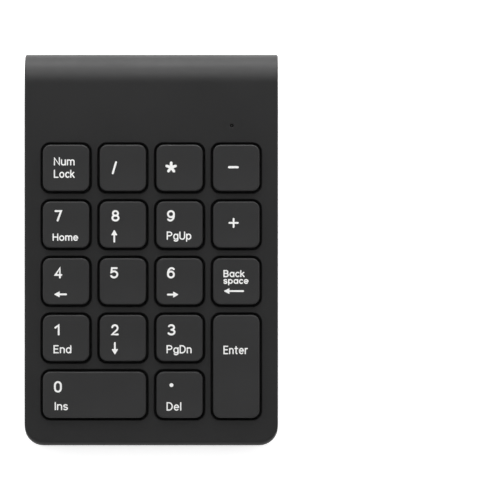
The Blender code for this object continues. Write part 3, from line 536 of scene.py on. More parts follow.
def lower_shell():
    bm = bmesh.new()
    skin(bm, [plan(i, z) for z, i in ((-5.1, 0.1), (-5.22, 0.0), (-6.0, 0.08), (-6.8, 0.25), (-7.4, 0.52), (-8.2, 1.1),
                                      (-8.9, 1.55), (-9.25, 1.8), (-9.4, 2.1))])
    lower = helper(bm)
    bm = bmesh.new()
    skin(bm, [plan(1.7, -3, y1=105.6, r=4.4), plan(1.7, -6.8, y1=105.6, r=4.4), plan(2.5, FLOOR_Z, y1=105.6, r=4.4)])
    boolean(lower, helper(bm), "DIFFERENCE")
    bend = smooth_path([(NECK_Y, UNDER_Z)] + NECK[::-1] + [on_barrel(BARREL_R, NECK_ANGLE)], 3)
    under = [(96, UNDER_Z)] + bend + arc(BARREL_R, NECK_ANGLE, -0.7, 30)[1:]
    boolean(lower, prism(under + offset(under, LOWER_T)[::-1], -LOWER_HALF, LOWER_HALF, "X"), "UNION")
    bulkhead = arc(BARREL_R - 2.1, 248, 0, 20) + arc(BARREL_R - 1.0, -3, -108, 20)
    bosses = [rod_of((s * 19.0, 6.6), 2.1, UNDER_Z + 0.5, SEAM_Z - 0.25) for s in (-1, 1)]
    bosses += [rod_of((s * 36.0, 108.5), 2.3, -10.2, -7.15) for s in (-1, 1)]
    bosses += [prism(bulkhead, 28.0, 29.2, "X"), prism(bulkhead, -29.2, -28.0, "X")]
    boolean(lower, several(bosses), "UNION")
    cuts = [rod_of((s * 19.0, 6.6), 1.05, -12, -3, 20) for s in (-1, 1)]
    cuts += [rod_of((s * 36.0, 108.5), 1.05, -14, -3, 20) for s in (-1, 1)]
    boolean(lower, several(cuts), "DIFFERENCE")
    cuts = [rod_of((s * 19.0, 6.6), HEAD_R + 0.15, -12, FRONT_SEAT + 0.05, 32) for s in (-1, 1)]
    cuts += [rod_of((s * 36.0, 108.5), HEAD_R + 0.15, -14, REAR_SEAT + 0.05, 32) for s in (-1, 1)]
    cuts += [prism(rounded(s * FRONT_FOOT[0], FRONT_FOOT[1], FRONT_FOOT[2] + 0.2, FRONT_FOOT[3] + 0.2, 2.1, 8), -12, UNDER_Z + 0.4) for s in (-1, 1)]
    cuts += [box_of((SWITCH_X - 2.05, SWITCH_X + 4.25), (108.05, 110.75), (-16, -8.0))]
    boolean(lower, several(cuts), "DIFFERENCE")
    boolean(lower, in_bay((-BAY_X, BAY_X), (-DOOR_HALF, DOOR_HALF), (0, 13)), "DIFFERENCE")
    boolean(lower, several([foot_block(s * REAR_FOOT_X, REAR_FOOT_L / 2 + 0.05, 1.05, 9.85, 12) for s in (-1, 1)]), "DIFFERENCE")
    return finished(lower, "lower_shell")


def door():
    outline = arc(BARREL_R, -122, -6, 40) + arc(BARREL_R - LOWER_T, -6, -122, 40)
    piece = prism(outline, -BAY_X + GAP, BAY_X - 0.35, "X")
    boolean(piece, in_bay((-BAY_X, BAY_X), (-DOOR_HALF + GAP, DOOR_HALF - GAP), (2, 13)), "INTERSECT")
    # three shallow grip grooves near the end that lifts
    d = (math.cos(DOOR_DIR), math.sin(DOOR_DIR))
    grooves = [in_bay((x - 0.35, x + 0.35), (-4.2, 4.2), (BARREL_R - 0.3, 13)) for x in (18.6, 20.2, 21.8)]
    boolean(piece, several(grooves), "DIFFERENCE")
    tab = in_bay((-BAY_X - 1.2, -BAY_X + 3), (-2.2, 2.2), (7.6, 8.2))
    boolean(tab, in_bay((-BAY_X + 0.5, -BAY_X + 2.5), (-1.9, 1.9), (7.9, 9.3)), "UNION")
    boolean(piece, tab, "UNION")
    return finished(piece, "cell_door", 0.12, at=(-BAY_X, BARREL_Y + BARREL_R * d[0], BARREL_Z + BARREL_R * d[1]))


# ------------------------------------------------------------------ keys
def cap_z(w, h, x, y):
    """The cap's top: a shallow dish inside its rounded rim."""
    u, v = min(1, abs(x) / (w / 2 - 0.5)), min(1, abs(y) / (h / 2 - 0.5))
    return CAP_TOP - 0.11 * (1 - u ** 2) * (1 - v ** 2)


def keycap(name, x, y, cols, rows):
    w, h = CAP + PITCH * (cols - 1), CAP + PITCH * (rows - 1)
    m = 6 if cols * rows == 1 else 12
    bm = bmesh.new()
    rings = []
    for inset, z in ((CAP_WALL, CAP_CEIL), (CAP_WALL, CAP_SKIRT + 0.1), (CAP_WALL - 0.1, CAP_SKIRT), (0.12, CAP_SKIRT), (0.0, CAP_SKIRT + 0.12), (0.03, 0.6), (0.07, CAP_TOP - 0.42)):
        rings.append([(px, py, z) for px, py in rounded(0, 0, w - 2 * inset, h - 2 * inset, max(0.4, CAP_R - inset), 8, m)])
    for k in range(1, 6):
        t = math.pi / 2 * k / 6
        inset, z = 0.07 + 0.42 * (1 - math.cos(t)), CAP_TOP - 0.42 + 0.42 * math.sin(t)
        rings.append([(px, py, z) for px, py in rounded(0, 0, w - 2 * inset, h - 2 * inset, CAP_R - inset, 8, m)])
    for inset in (0.49, 0.75, 1.1, 1.6, 2.3, 3.1, 4.0, 5.0, 6.0, 7.0, 7.5, 7.75):
        r = max(0.12, (CAP_R - 0.49) * (1 - (inset - 0.49) / 7.0) ** 1.0)
        rings.append([(px, py, cap_z(w, h, px, py)) for px, py in rounded(0, 0, w - 2 * inset, h - 2 * inset, min(r, (15.6 - 2 * inset) / 2 - 0.02), 8, m)])
    rings.append([(px, py, cap_z(w, h, px, py)) for px, py in rounded(0, 0, w - CAP, h - CAP, 0, 8, m)])     # the rings meet on the centre line
    skin(bm, rings, close=(True, False))
    bmesh.ops.remove_doubles(bm, verts=bm.verts, dist=1e-4)
    block(bm, (-2.5, 2.5), (-2.5, 2.5), (-2.5, CAP_CEIL + 0.1), 0.15)
    block(bm, (-3.5, 3.5), (-3.5, 3.5), (-3.75, -2.4), 0.2)
    if cols * rows > 1:
        turn = math.pi / 2 if rows > 1 else 0.0
        tip_y = -5.3 + 6.0 * math.cos(math.asin(1 / 6.0))
        for s in (-1, 1):
            ex = sorted((s * 10.9, s * 12.1))
            block(bm, ex, (tip_y - 1.3, tip_y - 0.68), (-2.5, CAP_CEIL + 0.1), 0.0, turn)
            block(bm, ex, (tip_y + 0.6, tip_y + 1.2), (-2.5, CAP_CEIL + 0.1), 0.0, turn)
            block(bm, ex, (tip_y - 1.3, tip_y + 1.2), (-0.72, CAP_CEIL + 0.1), 0.0, turn)
            block(bm, ex, (tip_y - 1.3, tip_y + 1.2), (-2.5, -1.88), 0.0, turn)
    return weighted(made(name, bm, (x, y, 0), weld=False, sharp=50))


def el(cx, cy, rx, ry, start=0, end=360):
    """Points along an ellipse, from one angle to another."""
    n = max(4, int(abs(end - start) / 15))
    return [(cx + rx * math.cos(math.radians(start + (end - start) * i / n)),
             cy + ry * math.sin(math.radians(start + (end - start) * i / n))) for i in range(n + 1)]


STROKES = {                      # single-line letters, cap height 1
    "0": [el(.33, .66, .33, .34, 0, 180) + el(.33, .34, .33, .34, 180, 360) + [(.66, .66)]],
    "1": [[(0, .74), (.27, 1), (.27, 0)]],
    "2": [el(.32, .69, .31, .31, 165, -35) + [(0, 0), (.65, 0)]],
    "3": [el(.31, .755, .27, .245, 150, -90), el(.31, .255, .32, .255, 90, -150)],
    "4": [[(.50, 0), (.50, 1), (0, .27), (.66, .27)]],
    "5": [[(.58, 1), (.10, 1), (.05, .55)] + el(.31, .33, .33, .33, 138, -150)],
    "6": [el(.33, .32, .33, .32), el(.40, .45, .40, .55, 180, 52)],
    "7": [[(0, 1), (.62, 1), (.24, 0)]],
    "8": [el(.33, .755, .27, .245), el(.33, .265, .33, .265)],
    "9": [el(.33, .68, .33, .32), el(.26, .55, .40, .55, 0, -128)],
    "N": [[(0, 0), (0, 1), (.60, 0), (.60, 1)]],
    "L": [[(0, 1), (0, 0), (.48, 0)]],
    "H": [[(0, 0), (0, 1)], [(.60, 0), (.60, 1)], [(0, .52), (.60, .52)]],
    "P": [[(0, 0), (0, 1), (.30, 1)] + el(.30, .74, .27, .26, 90, -90) + [(0, .48)]],
    "U": [[(0, 1)] + el(.30, .30, .30, .30, 180, 360) + [(.60, 1)]],
    "E": [[(.48, 1), (0, 1), (0, 0), (.50, 0)], [(0, .53), (.43, .53)]],
    "I": [[(0, 1), (0, 0)]],
    "D": [[(0, 0), (0, 1), (.24, 1)] + el(.24, .5, .38, .5, 90, -90) + [(0, 0)]],
    "B": [[(0, 0), (0, 1), (.28, 1)] + el(.28, .76, .23, .24, 90, -90) + [(0, .52)], el(.30, .26, .26, .26, 90, -90) + [(0, 0)]],
    "a": [el(.26, .35, .26, .35), [(.52, .70), (.52, 0)]],
    "c": [el(.26, .35, .26, .35, 50, 310)],
    "d": [el(.26, .35, .26, .35), [(.52, 1), (.52, 0)]],
    "e": [[(.01, .37), (.52, .37)] + el(.26, .35, .26, .35, 12, 312)],
    "g": [el(.26, .35, .26, .35), [(.52, .70)] + el(.27, -.04, .25, .22, 0, -150)],
    "k": [[(0, 1), (0, 0)], [(.40, .70), (0, .28)], [(.15, .42), (.44, 0)]],
    "l": [[(0, 1), (0, 0)]],
    "m": [[(0, .70), (0, 0)], el(.20, .50, .20, .20, 180, 0) + [(.40, 0)], el(.60, .50, .20, .20, 180, 0) + [(.80, 0)]],
    "n": [[(0, .70), (0, 0)], el(.23, .47, .23, .23, 180, 0) + [(.46, 0)]],
    "o": [el(.27, .35, .27, .35)],
    "p": [el(.26, .35, .26, .35), [(0, .70), (0, -.28)]],
    "r": [[(0, .70), (0, 0)], el(.22, .42, .22, .28, 180, 75)],
    "s": [el(.21, .525, .19, .175, 35, 270) + el(.21, .175, .21, .175, 90, -145)],
    "t": [[(.14, .95), (.14, .14)] + el(.27, .13, .13, .13, 180, 265), [(0, .70), (.34, .70)]],
    "u": [[(0, .70)] + el(.23, .23, .23, .23, 180, 360), [(.46, .70), (.46, 0)]],
}


def lettering(text, gap):
    """The text's centre lines side by side, in the strokes' own units."""
    lines, x = [], 0.0
    for letter in text:
        here = STROKES[letter]
        left, right = min(p[0] for line in here for p in line), max(p[0] for line in here for p in line)
        lines += [[(px - left + x, py) for px, py in line] for line in here]
        x += right - left + gap
    return lines


def fitted(lines, x0, x1, y0, y1):
    """Centre lines stretched to a box."""
    xs, ys = [p[0] for line in lines for p in line], [p[1] for line in lines for p in line]
    fx = (x1 - x0) / max(1e-6, max(xs) - min(xs))
    fy = (y1 - y0) / max(1e-6, max(ys) - min(ys))
    return [[(x0 + (px - min(xs)) * fx, y0 + (py - min(ys)) * fy) for px, py in line] for line in lines]


LEGENDS = {                      # key: (what, left, right, bottom, top) in millimetres from the key's centre
    "key_num_lock": [("Num", -4.1, 2.88, 0.8, 3.55), ("Lock", -4.1, 2.88, -3.35, -0.6)],
    "key_divide": [("/", -3.7, -1.92, -2.15, 2.2)],
    "key_multiply": [("*", -4.75, -0.85, -1.7, 2.2)],
    "key_minus": [("-", -2.78, 0.85, -0.15, 0.6)],
    "key_7": [("7", -3.85, -1.35, 1.05, 4.85), ("Home", -4.5, 4.1, -5.45, -2.95)],
    "key_8": [("8", -3.8, -1.1, 1.05, 4.85), ("up", -3.85, -1.85, -6.0, -1.75)],
    "key_9": [("9", -4.2, -1.55, 1.05, 4.85), ("PgUp", -4.3, 3.95, -5.75, -2.3)],
    "key_plus": [("+", -2.6, 0.8, -1.1, 2.25)],
    "key_4": [("4", -3.9, -1.25, 0.98, 4.75), ("left", -3.95, 0.35, -5.3, -3.4)],
    "key_5": [("5", -4.2, -1.5, 0.98, 4.75)],
    "key_6": [("6", -4.2, -1.55, 0.98, 4.75), ("right", -4.2, -0.42, -5.4, -3.45)],
    "key_backspace": [("Back", -4.3, 2.8, 1.4, 3.8), ("space", -4.3, 4.1, -1.35, 0.8), ("left2", -4.1, 2.6, -4.2, -2.3)],
    "key_1": [("1", -3.9, -2.15, 0.9, 4.6), ("End", -4.2, 1.78, -5.1, -2.35)],
    "key_2": [("2", -3.9, -1.35, 0.9, 4.65), ("down", -3.7, -1.6, -5.5, -1.3)],
    "key_3": [("3", -4.0, -1.35, 0.9, 4.65), ("PgDn", -4.35, 4.05, -5.75, -2.35)],
    "key_enter": [("Enter", -4.3, 3.9, 4.1, 6.95)],
    "key_0": [("0", -13.55, -10.9, 0.75, 4.6), ("Ins", -13.3, -8.85, -5.15, -2.4)],
    "key_decimal": [(".", -3.35, -2.05, 2.6, 3.9), ("Del", -4.35, 0.6, -5.3, -2.45)],
}


def legend(key, x, y, cols, rows):
    w, h = CAP + PITCH * (cols - 1), CAP + PITCH * (rows - 1)
    bm = bmesh.new()
    count = [0]

    def sheet(strips):
        """Faces on the cap's dished top; each stroke lies a hair over the one before it."""
        count[0] += 1
        lift = 0.010 + 0.0012 * count[0]
        for face in strips:
            bm.faces.new([bm.verts.new((px, py, cap_z(w, h, px, py) + lift)) for px, py in face])

    def ribbon(line, width):
        line = [Vector(p) for i, p in enumerate(line) if i == 0 or (Vector(p) - Vector(line[i - 1])).length > 1e-4]
        ring = (line[0] - line[-1]).length < 1e-3
        left, right = [], []
        for i, p in enumerate(line):
            before = line[i - 1] if i else (line[-2] if ring else None)
            after = line[i + 1] if i < len(line) - 1 else (line[1] if ring else None)
            d1 = (p - before).normalized() if before is not None else None
            d2 = (after - p).normalized() if after is not None else None
            d1, d2 = d1 or d2, d2 or d1
            n1, n2 = Vector((-d1.y, d1.x)), Vector((-d2.y, d2.x))
            mid = (n1 + n2).normalized() if (n1 + n2).length > 1e-6 else n1
            mid = mid * (width / 2 / max(0.55, mid.dot(n1)))
            left.append(p + mid)
            right.append(p - mid)
        faces = [(left[i], right[i], right[i + 1], left[i + 1]) for i in range(len(line) - 1)]
        if not ring:
            for p, q in ((line[0], line[1]), (line[-1], line[-2])):
                t = (p - q).normalized()
                side = Vector((-t.y, t.x))
                faces.append([p + (side * math.cos(math.pi * i / 8) + t * math.sin(math.pi * i / 8)) * width / 2 for i in range(9)])
        sheet(faces)

    for what, x0, x1, y0, y1 in LEGENDS[key]:
        cx, cy = (x0 + x1) / 2, (y0 + y1) / 2
        if what in ("up", "down", "left", "right", "left2"):
            tall = what in ("up", "down")
            length, half = (y1 - y0, (x1 - x0) / 2) if tall else (x1 - x0, (y1 - y0) / 2)
            tx, ty = {"right": (1, 0), "up": (0, 1), "left": (-1, 0), "left2": (-1, 0), "down": (0, -1)}[what]
            head = min(1.7, length * 0.42)

            def at(u, v):
                return (cx + tx * u - ty * v, cy + ty * u + tx * v)

            ribbon([at(-length / 2 + 0.3, 0), at(length / 2 - head + 0.2, 0)], 0.6)
            tip = [(length / 2 - head, -half), (length / 2 - 0.12, -0.12), (length / 2, 0), (length / 2 - 0.12, 0.12), (length / 2 - head, half)]
            tip += [(length / 2 - head - 0.12, half - 0.1), (length / 2 - head - 0.12, -half + 0.1)]
            sheet([[at(u, v) for u, v in tip]])
        elif what == "-":
            ribbon([(x0 + 0.38, cy), (x1 - 0.38, cy)], y1 - y0)
        elif what == "+":
            ribbon([(x0 + 0.31, cy), (x1 - 0.31, cy)], 0.62)
            ribbon([(cx, y0 + 0.31), (cx, y1 - 0.31)], 0.62)
        elif what == "/":
            ribbon([(x0 + 0.33, y0 + 0.33), (x1 - 0.33, y1 - 0.33)], 0.66)
        elif what == ".":
            r = (x1 - x0) / 2
            sheet([[(cx + r * math.cos(2 * math.pi * i / 20), cy + r * math.sin(2 * math.pi * i / 20)) for i in range(20)]])
        elif what == "*":
            r = (x1 - x0) / 2 - 0.42
            for i in range(5):
                a = math.radians(90 + 72 * i)
                ribbon([(cx, cy - 0.1), (cx + r * math.cos(a), cy - 0.1 + r * math.sin(a))], 0.92)
        else:
            width = 0.64 if len(what) == 1 else 0.41
            for line in fitted(lettering(what, 0.26), x0 + width / 2, x1 - width / 2, y0 + width / 2, y1 - width / 2):
                ribbon(line, width)
    for f in bm.faces:
        f.normal_update()
        if f.normal.z < 0:
            f.normal_flip()
    bmesh.ops.remove_doubles(bm, verts=bm.verts, dist=1e-4)
    bmesh.ops.triangulate(bm, faces=bm.faces)
    obj = placed("legend_" + key[4:], bm, (x, y, 0))
    step = obj.modifiers.new("ink_depth", "SOLIDIFY")
    step.thickness, step.offset = 0.00002, -1
    return obj


# ------------------------------------------------------------------ materials
class Tree:
    """Short calls for a node material."""

    def __init__(self, name):
        self.material = bpy.data.materials.new(name)
        self.material.use_nodes = True
        self.tree = self.material.node_tree
        self.shader = self.tree.nodes["Principled BSDF"]
        self.place = self.add("ShaderNodeTexCoord").outputs["Object"]

    def add(self, kind, inputs=None, **settings):
        node = self.tree.nodes.new(kind)
        for key, value in settings.items():
            setattr(node, key, value)
        for key, value in (inputs or {}).items():
            if isinstance(value, bpy.types.NodeSocket):
                self.tree.links.new(value, node.inputs[key])
            else:
                node.inputs[key].default_value = value
        return node

    def noise(self, scale, detail=2.0, rough=0.5, stretch=None, seed=(0, 0, 0)):
        at = self.add("ShaderNodeMapping", {"Vector": self.place, "Location": seed, "Scale": stretch or (1, 1, 1)}).outputs[0]
        return self.add("ShaderNodeTexNoise", {"Vector": at, "Scale": scale, "Detail": detail, "Roughness": rough}).outputs[0]

    def span(self, value, low, high, a=0.0, b=1.0):
        """Maps a..b of a value to low..high."""
        return self.add("ShaderNodeMapRange", {"Value": value, "From Min": a, "From Max": b, "To Min": low, "To Max": high}).outputs[0]

    def math(self, what, a, b):
        node = self.add("ShaderNodeMath", operation=what)
        for i, value in enumerate((a, b)):
            if isinstance(value, bpy.types.NodeSocket):
                self.tree.links.new(value, node.inputs[i])
            else:
                node.inputs[i].default_value = value
        return node.outputs[0]

    def mix(self, factor, a, b):
        node = self.add("ShaderNodeMix", data_type="RGBA")
        for i, value in ((0, factor), (6, a), (7, b)):
            if isinstance(value, bpy.types.NodeSocket):
                self.tree.links.new(value, node.inputs[i])
            else:
                node.inputs[i].default_value = (*value, 1) if i > 0 else value
        return node.outputs[2]

    def bump(self, height, strength, distance, under=None):
        inputs = {"Height": height, "Strength": strength, "Distance": distance}
        if under is not None:
            inputs["Normal"] = under
        return self.add("ShaderNodeBump", inputs).outputs[0]

    def set(self, **inputs):
        for key, value in inputs.items():
            key = key.replace("_", " ")
            if isinstance(value, bpy.types.NodeSocket):
                self.tree.links.new(value, self.shader.inputs[key])
            elif isinstance(value, tuple) and len(value) == 3:
                self.shader.inputs[key].default_value = (*value, 1)
            else:
                self.shader.inputs[key].default_value = value
        return self.material


def grey(v):
    return (v, v, v * 1.02)


def moulded(name, albedo, rough, grain=0.16, grain_size=5200.0, wear=0.5, polish=0.0, size=0.008, tint=(1, 1, 1.02)):
    """Moulded ABS: spark-eroded grain, a little unevenness in gloss, paler worn edges, and polish where fingers land."""
    t = Tree(name)
    broad, patch = t.noise(55.0, 3.0), t.noise(420.0, 3.0, 0.6, seed=(3, 1, 7))
    fine = t.noise(grain_size, 2.0, 0.6)
    pits = t.add("ShaderNodeTexVoronoi", {"Vector": t.place, "Scale": grain_size * 0.5}, feature="F1").outputs[0]
    edge = t.span(t.add("ShaderNodeNewGeometry").outputs["Pointiness"], 0.0, 1.0, 0.515, 0.56)
    base, pale = tuple(albedo * c for c in tint), tuple(albedo * 1.55 * c + 0.004 for c in tint)
    dark = tuple(albedo * 0.86 * c for c in tint)
    colour = t.mix(t.span(broad, 0.0, 1.0, 0.3, 0.7), dark, base)
    worn = t.math("MULTIPLY", edge, t.span(patch, 0.15 * wear, wear, 0.35, 0.7))
    colour = t.mix(worn, colour, pale)
    gloss = t.math("ADD", t.span(broad, -0.03, 0.03, 0.3, 0.7), t.span(patch, rough - 0.03, rough + 0.03, 0.3, 0.7))
    gloss = t.math("SUBTRACT", gloss, t.math("MULTIPLY", worn, 0.08))
    if polish:
        spot = t.add("ShaderNodeVectorMath", {0: t.place}, operation="LENGTH").outputs["Value"]
        rub = t.math("MULTIPLY", t.span(spot, polish, 0.0, 0.0, size), t.span(patch, 0.4, 1.0, 0.3, 0.7))
        gloss = t.math("SUBTRACT", gloss, rub)
    height = t.math("ADD", t.math("MULTIPLY", fine, 0.7), t.math("MULTIPLY", pits, 0.5))
    return t.set(Base_Color=colour, Roughness=gloss, Specular_IOR_Level=0.3, Normal=t.bump(height, grain, 0.00005))


def rubber(name, albedo=0.012):
    t = Tree(name)
    patch, fine = t.noise(300.0, 3.0), t.noise(7000.0, 2.0)
    dust = t.span(t.noise(900.0, 4.0, 0.7, seed=(5, 2, 1)), 0.0, 0.35, 0.5, 0.8)
    colour = t.mix(dust, grey(albedo), grey(albedo * 3 + 0.01))
    return t.set(Base_Color=colour, Roughness=t.span(patch, 0.62, 0.82, 0.3, 0.7), Normal=t.bump(fine, 0.25, 0.00004))


def metal(name, colour, rough, brushed=None, spots=0.12, scratch=0.1):
    """Sheet or wire: brushed one way if a stretch is given, with faint tarnish."""
    t = Tree(name)
    lines = t.noise(2600.0, 3.0, 0.6, brushed or (1, 1, 1))
    tarnish = t.noise(240.0, 4.0, 0.6, seed=(2, 8, 4))
    shade = t.mix(t.span(tarnish, 0.0, spots, 0.45, 0.7), colour, tuple(c * 0.55 for c in colour))
    return t.set(Base_Color=shade, Metallic=1.0, Roughness=t.span(lines, rough - 0.07, rough + 0.1, 0.3, 0.7),
                 Normal=t.bump(lines, scratch, 0.00003))


def ink(name):
    t = Tree(name)
    wear = t.span(t.noise(2600.0, 4.0, 0.7), 0.0, 0.35, 0.56, 0.8)
    colour = t.mix(wear, (0.85, 0.85, 0.84), (0.50, 0.50, 0.50))
    return t.set(Base_Color=colour, Roughness=t.span(t.noise(500.0), 0.45, 0.6, 0.3, 0.7), Normal=t.bump(t.noise(6000.0), 0.08, 0.00002))


def silicone(name):
    t = Tree(name)
    cloud = t.noise(160.0, 3.0)
    colour = t.mix(t.span(cloud, 0.0, 1.0, 0.3, 0.7), (0.48, 0.48, 0.46), (0.62, 0.62, 0.59))
    return t.set(Base_Color=colour, Roughness=t.span(cloud, 0.35, 0.55, 0.3, 0.7), Subsurface_Weight=0.25, Subsurface_Scale=0.0006,
                 Normal=t.bump(t.noise(3500.0), 0.15, 0.00004))


def film(name):
    """Polyester film with printed silver tracks."""
    t = Tree(name)
    tracks = t.add("ShaderNodeTexBrick", {"Vector": t.place, "Scale": 130.0, "Mortar Size": 0.045, "Color1": (0, 0, 0, 1), "Color2": (0, 0, 0, 1), "Mortar": (1, 1, 1, 1)}).outputs[0]
    colour = t.mix(tracks, (0.33, 0.42, 0.39), (0.62, 0.62, 0.60))
    return t.set(Base_Color=colour, Roughness=t.span(t.noise(300.0), 0.2, 0.32, 0.3, 0.7), Alpha=0.92, Normal=t.bump(t.noise(90.0), 0.2, 0.0002))


def solder_mask(name):
    t = Tree(name)
    tracks = t.add("ShaderNodeTexBrick", {"Vector": t.place, "Scale": 420.0, "Mortar Size": 0.03, "Color1": (0, 0, 0, 1), "Color2": (0.25, 0.25, 0.25, 1), "Mortar": (1, 1, 1, 1)}).outputs[0]
    colour = t.mix(tracks, (0.012, 0.085, 0.035), (0.03, 0.17, 0.07))
    return t.set(Base_Color=colour, Roughness=t.span(t.noise(700.0), 0.22, 0.34, 0.3, 0.7), Normal=t.bump(tracks, 0.3, 0.00004), Coat_Weight=0.3, Coat_Roughness=0.15)


def jacket(name, colour):
    t = Tree(name)
    shade = t.mix(t.span(t.noise(900.0, 3.0), 0.0, 1.0, 0.3, 0.7), colour, tuple(c * 0.7 for c in colour))
    return t.set(Base_Color=shade, Roughness=t.span(t.noise(1500.0, seed=(1, 1, 1)), 0.38, 0.5, 0.3, 0.7), Normal=t.bump(t.noise(3000.0), 0.12, 0.00003))


def cell_wrap(name):
    """The cell's printed sleeve: a plain graphite body, a copper-coloured band at the positive end and a thin ring."""
    t = Tree(name)
    x = t.add("ShaderNodeSeparateXYZ", {"Vector": t.place}).outputs[0]
    band = t.math("GREATER_THAN", x, 0.0135)
    ring = t.math("MULTIPLY", t.math("GREATER_THAN", x, 0.0118), t.math("LESS_THAN", x, 0.0124))
    metal_end = t.math("MAXIMUM", t.math("GREATER_THAN", x, 0.02425), t.math("LESS_THAN", x, -0.02435))
    cloud = t.noise(200.0, 3.0)
    body = t.mix(t.span(cloud, 0.0, 1.0, 0.3, 0.7), (0.045, 0.05, 0.058), (0.06, 0.065, 0.074))
    colour = t.mix(band, body, (0.50, 0.26, 0.10))
    colour = t.mix(ring, colour, (0.62, 0.62, 0.62))
    colour = t.mix(metal_end, colour, (0.60, 0.60, 0.58))
    scuff = t.noise(1600.0, 4.0, 0.7, (0.15, 1, 1))
    return t.set(Base_Color=colour, Metallic=t.math("MAXIMUM", metal_end, t.math("MULTIPLY", band, 0.6)),
                 Roughness=t.span(scuff, 0.2, 0.42, 0.35, 0.65), Normal=t.bump(scuff, 0.08, 0.00003), Coat_Weight=0.4, Coat_Roughness=0.2)


def glassy(name, colour, rough=0.08, clear=0.0):
    t = Tree(name)
    cloud = t.noise(900.0, 3.0)
    shade = t.mix(t.span(cloud, 0.0, 1.0, 0.3, 0.7), colour, tuple(c * 0.8 for c in colour))
    return t.set(Base_Color=shade, Roughness=t.span(cloud, rough, rough + 0.08, 0.3, 0.7), Transmission_Weight=clear, IOR=1.49,
                 Normal=t.bump(t.noise(2500.0), 0.04, 0.00002))


SHELL = moulded("abs_upper_shell", 0.0130, 0.47)
LOWER = moulded("abs_lower_shell", 0.0105, 0.52, tint=(1, 1, 1.03))
CAPS = moulded("abs_keycap", 0.0225, 0.48, grain=0.12, wear=0.08, polish=0.05, size=0.0085)
INSIDE = moulded("abs_guide_plate", 0.012, 0.6, grain=0.1)
CLAMP = moulded("abs_clamp_bar", 0.03, 0.55, grain=0.1)
KNOB = moulded("abs_switch_knob", 0.02, 0.42, grain=0.08)
RUBBER = rubber("rubber_foot")
INK = ink("legend_ink")


# ------------------------------------------------------------------ pieces
def dress(obj, material, body, slot, *stands_for):
    obj.data.materials.clear()
    obj.data.materials.append(material)
    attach(obj, body)
    if stands_for:
        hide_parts(*stands_for)
    return obj


def recoat(name, material):
    obj = nodes[name]
    if obj.material_slots:
        for s in obj.material_slots:
            s.link = "OBJECT"
            s.material = material
    else:
        obj.data.materials.append(material)
    return obj


dress(upper_shell(), SHELL, "housing", "top_case", "top_case")
dress(lower_shell(), LOWER, "housing", "bottom_case", "bottom_case")
dress(door(), LOWER, "battery_door", "battery_door", "battery_door")
for key, (x, y, cols, rows) in KEYS.items():
    dress(keycap("cap_" + key[4:], x, y, cols, rows), CAPS, key, "keycap", key)
    dress(legend(key, x, y, cols, rows), INK, key, "keycap")

# status lamp lens
bm = bmesh.new()
turned(bm, [(0, -1.05), (0.35, -1.07), (0.52, -1.13), (0.58, -1.25), (0.58, -2.0), (1.4, -2.0), (1.4, -2.8), (0, -2.8)], (*LED, 0), segments=32)
dress(made("lamp_lens", bm), glassy("smoked_lens", (0.004, 0.004, 0.0045), 0.1), "housing", "lens", "indicator_lens")

# feet
for side, s in (("left", -1), ("right", 1)):
    cx, cy, w, h = FRONT_FOOT
    cx *= s
    bm = bmesh.new()
    rings = []
    for inset, lift in ((0.0, None), (0.0, 0.25), (0.1, 0.1), (0.28, 0.0)):
        ring = []
        for px, py in rounded(cx, cy, w - 2 * inset, h - 2 * inset, 2.0 - inset, 8, 4):
            if lift is None:
                ring.append((px, py, UNDER_Z + 0.35))
                continue
            floor_z = (DECK.inverted() @ Vector((0, (DECK @ (Vector((px, py, -10)) * 0.001)).y, 0))).z * 1000
            if py > 7.0:
                t = min(1.0, (py - 7.0) / 5.6)
                flat7 = (DECK.inverted() @ Vector((0, (DECK @ (Vector((px, 7.0, -10)) * 0.001)).y, 0))).z * 1000
                floor_z = max(floor_z, flat7 + (-10.55 - flat7) * t)
                if py > 12.6:
                    floor_z = -10.55 + min(0.9, (py - 12.6) * 0.45)
            ring.append((px, py, floor_z + lift))
        rings.append(ring)
    skin(bm, rings)
    dress(made("pad_front_" + side, bm, sharp=60), RUBBER, "housing", "rubber", "front_foot_" + side)

    bm = bmesh.new()
    rings = []
    for k, (reach, half_w, half_l) in enumerate(((9.92, 1.0, 4.0), (10.95, 0.98, 4.0), (11.05, 0.9, 3.95), (11.12, 0.7, 3.8), (FOOT_REACH, 0.4, 3.5))):
        rings.append([(px, py, -reach) for px, py in rounded(s * REAR_FOOT_X, 0, 2 * half_l, 2 * half_w, min(0.45, half_w * 0.6), 5)])
    skin(bm, rings)
    bmesh.ops.transform(bm, matrix=Matrix.Translation((0, BARREL_Y, BARREL_Z)) @ Matrix.Rotation(-TILT, 4, "X"), verts=bm.verts)
    dress(made("pad_rear_" + side, bm, sharp=60), RUBBER, "housing", "rubber", "rear_foot_" + side)

# power switch knob, ribbed across its tip
bm = bmesh.new()
section = [(108.3, -8.85), (108.3, -11.7)]
for k in range(5):
    t = (k + 0.5) / 5
    y, z = 108.3 + 2.2 * t, -11.7 - 1.8 * t
    section += [(y - 0.14, z + 0.115), (y + 0.1, z + 0.125), (y + 0.14, z - 0.115)]
section += [(110.5, -13.5), (110.5, -8.85)]
rings = [[(x, y, z) for y, z in section] for x in (SWITCH_X - 1.8, SWITCH_X - 0.9, SWITCH_X, SWITCH_X + 0.9, SWITCH_X + 1.8)]
skin(bm, rings)
dress(made("switch_knob", bm), KNOB, "power_switch_knob", "knob", "power_switch_knob")


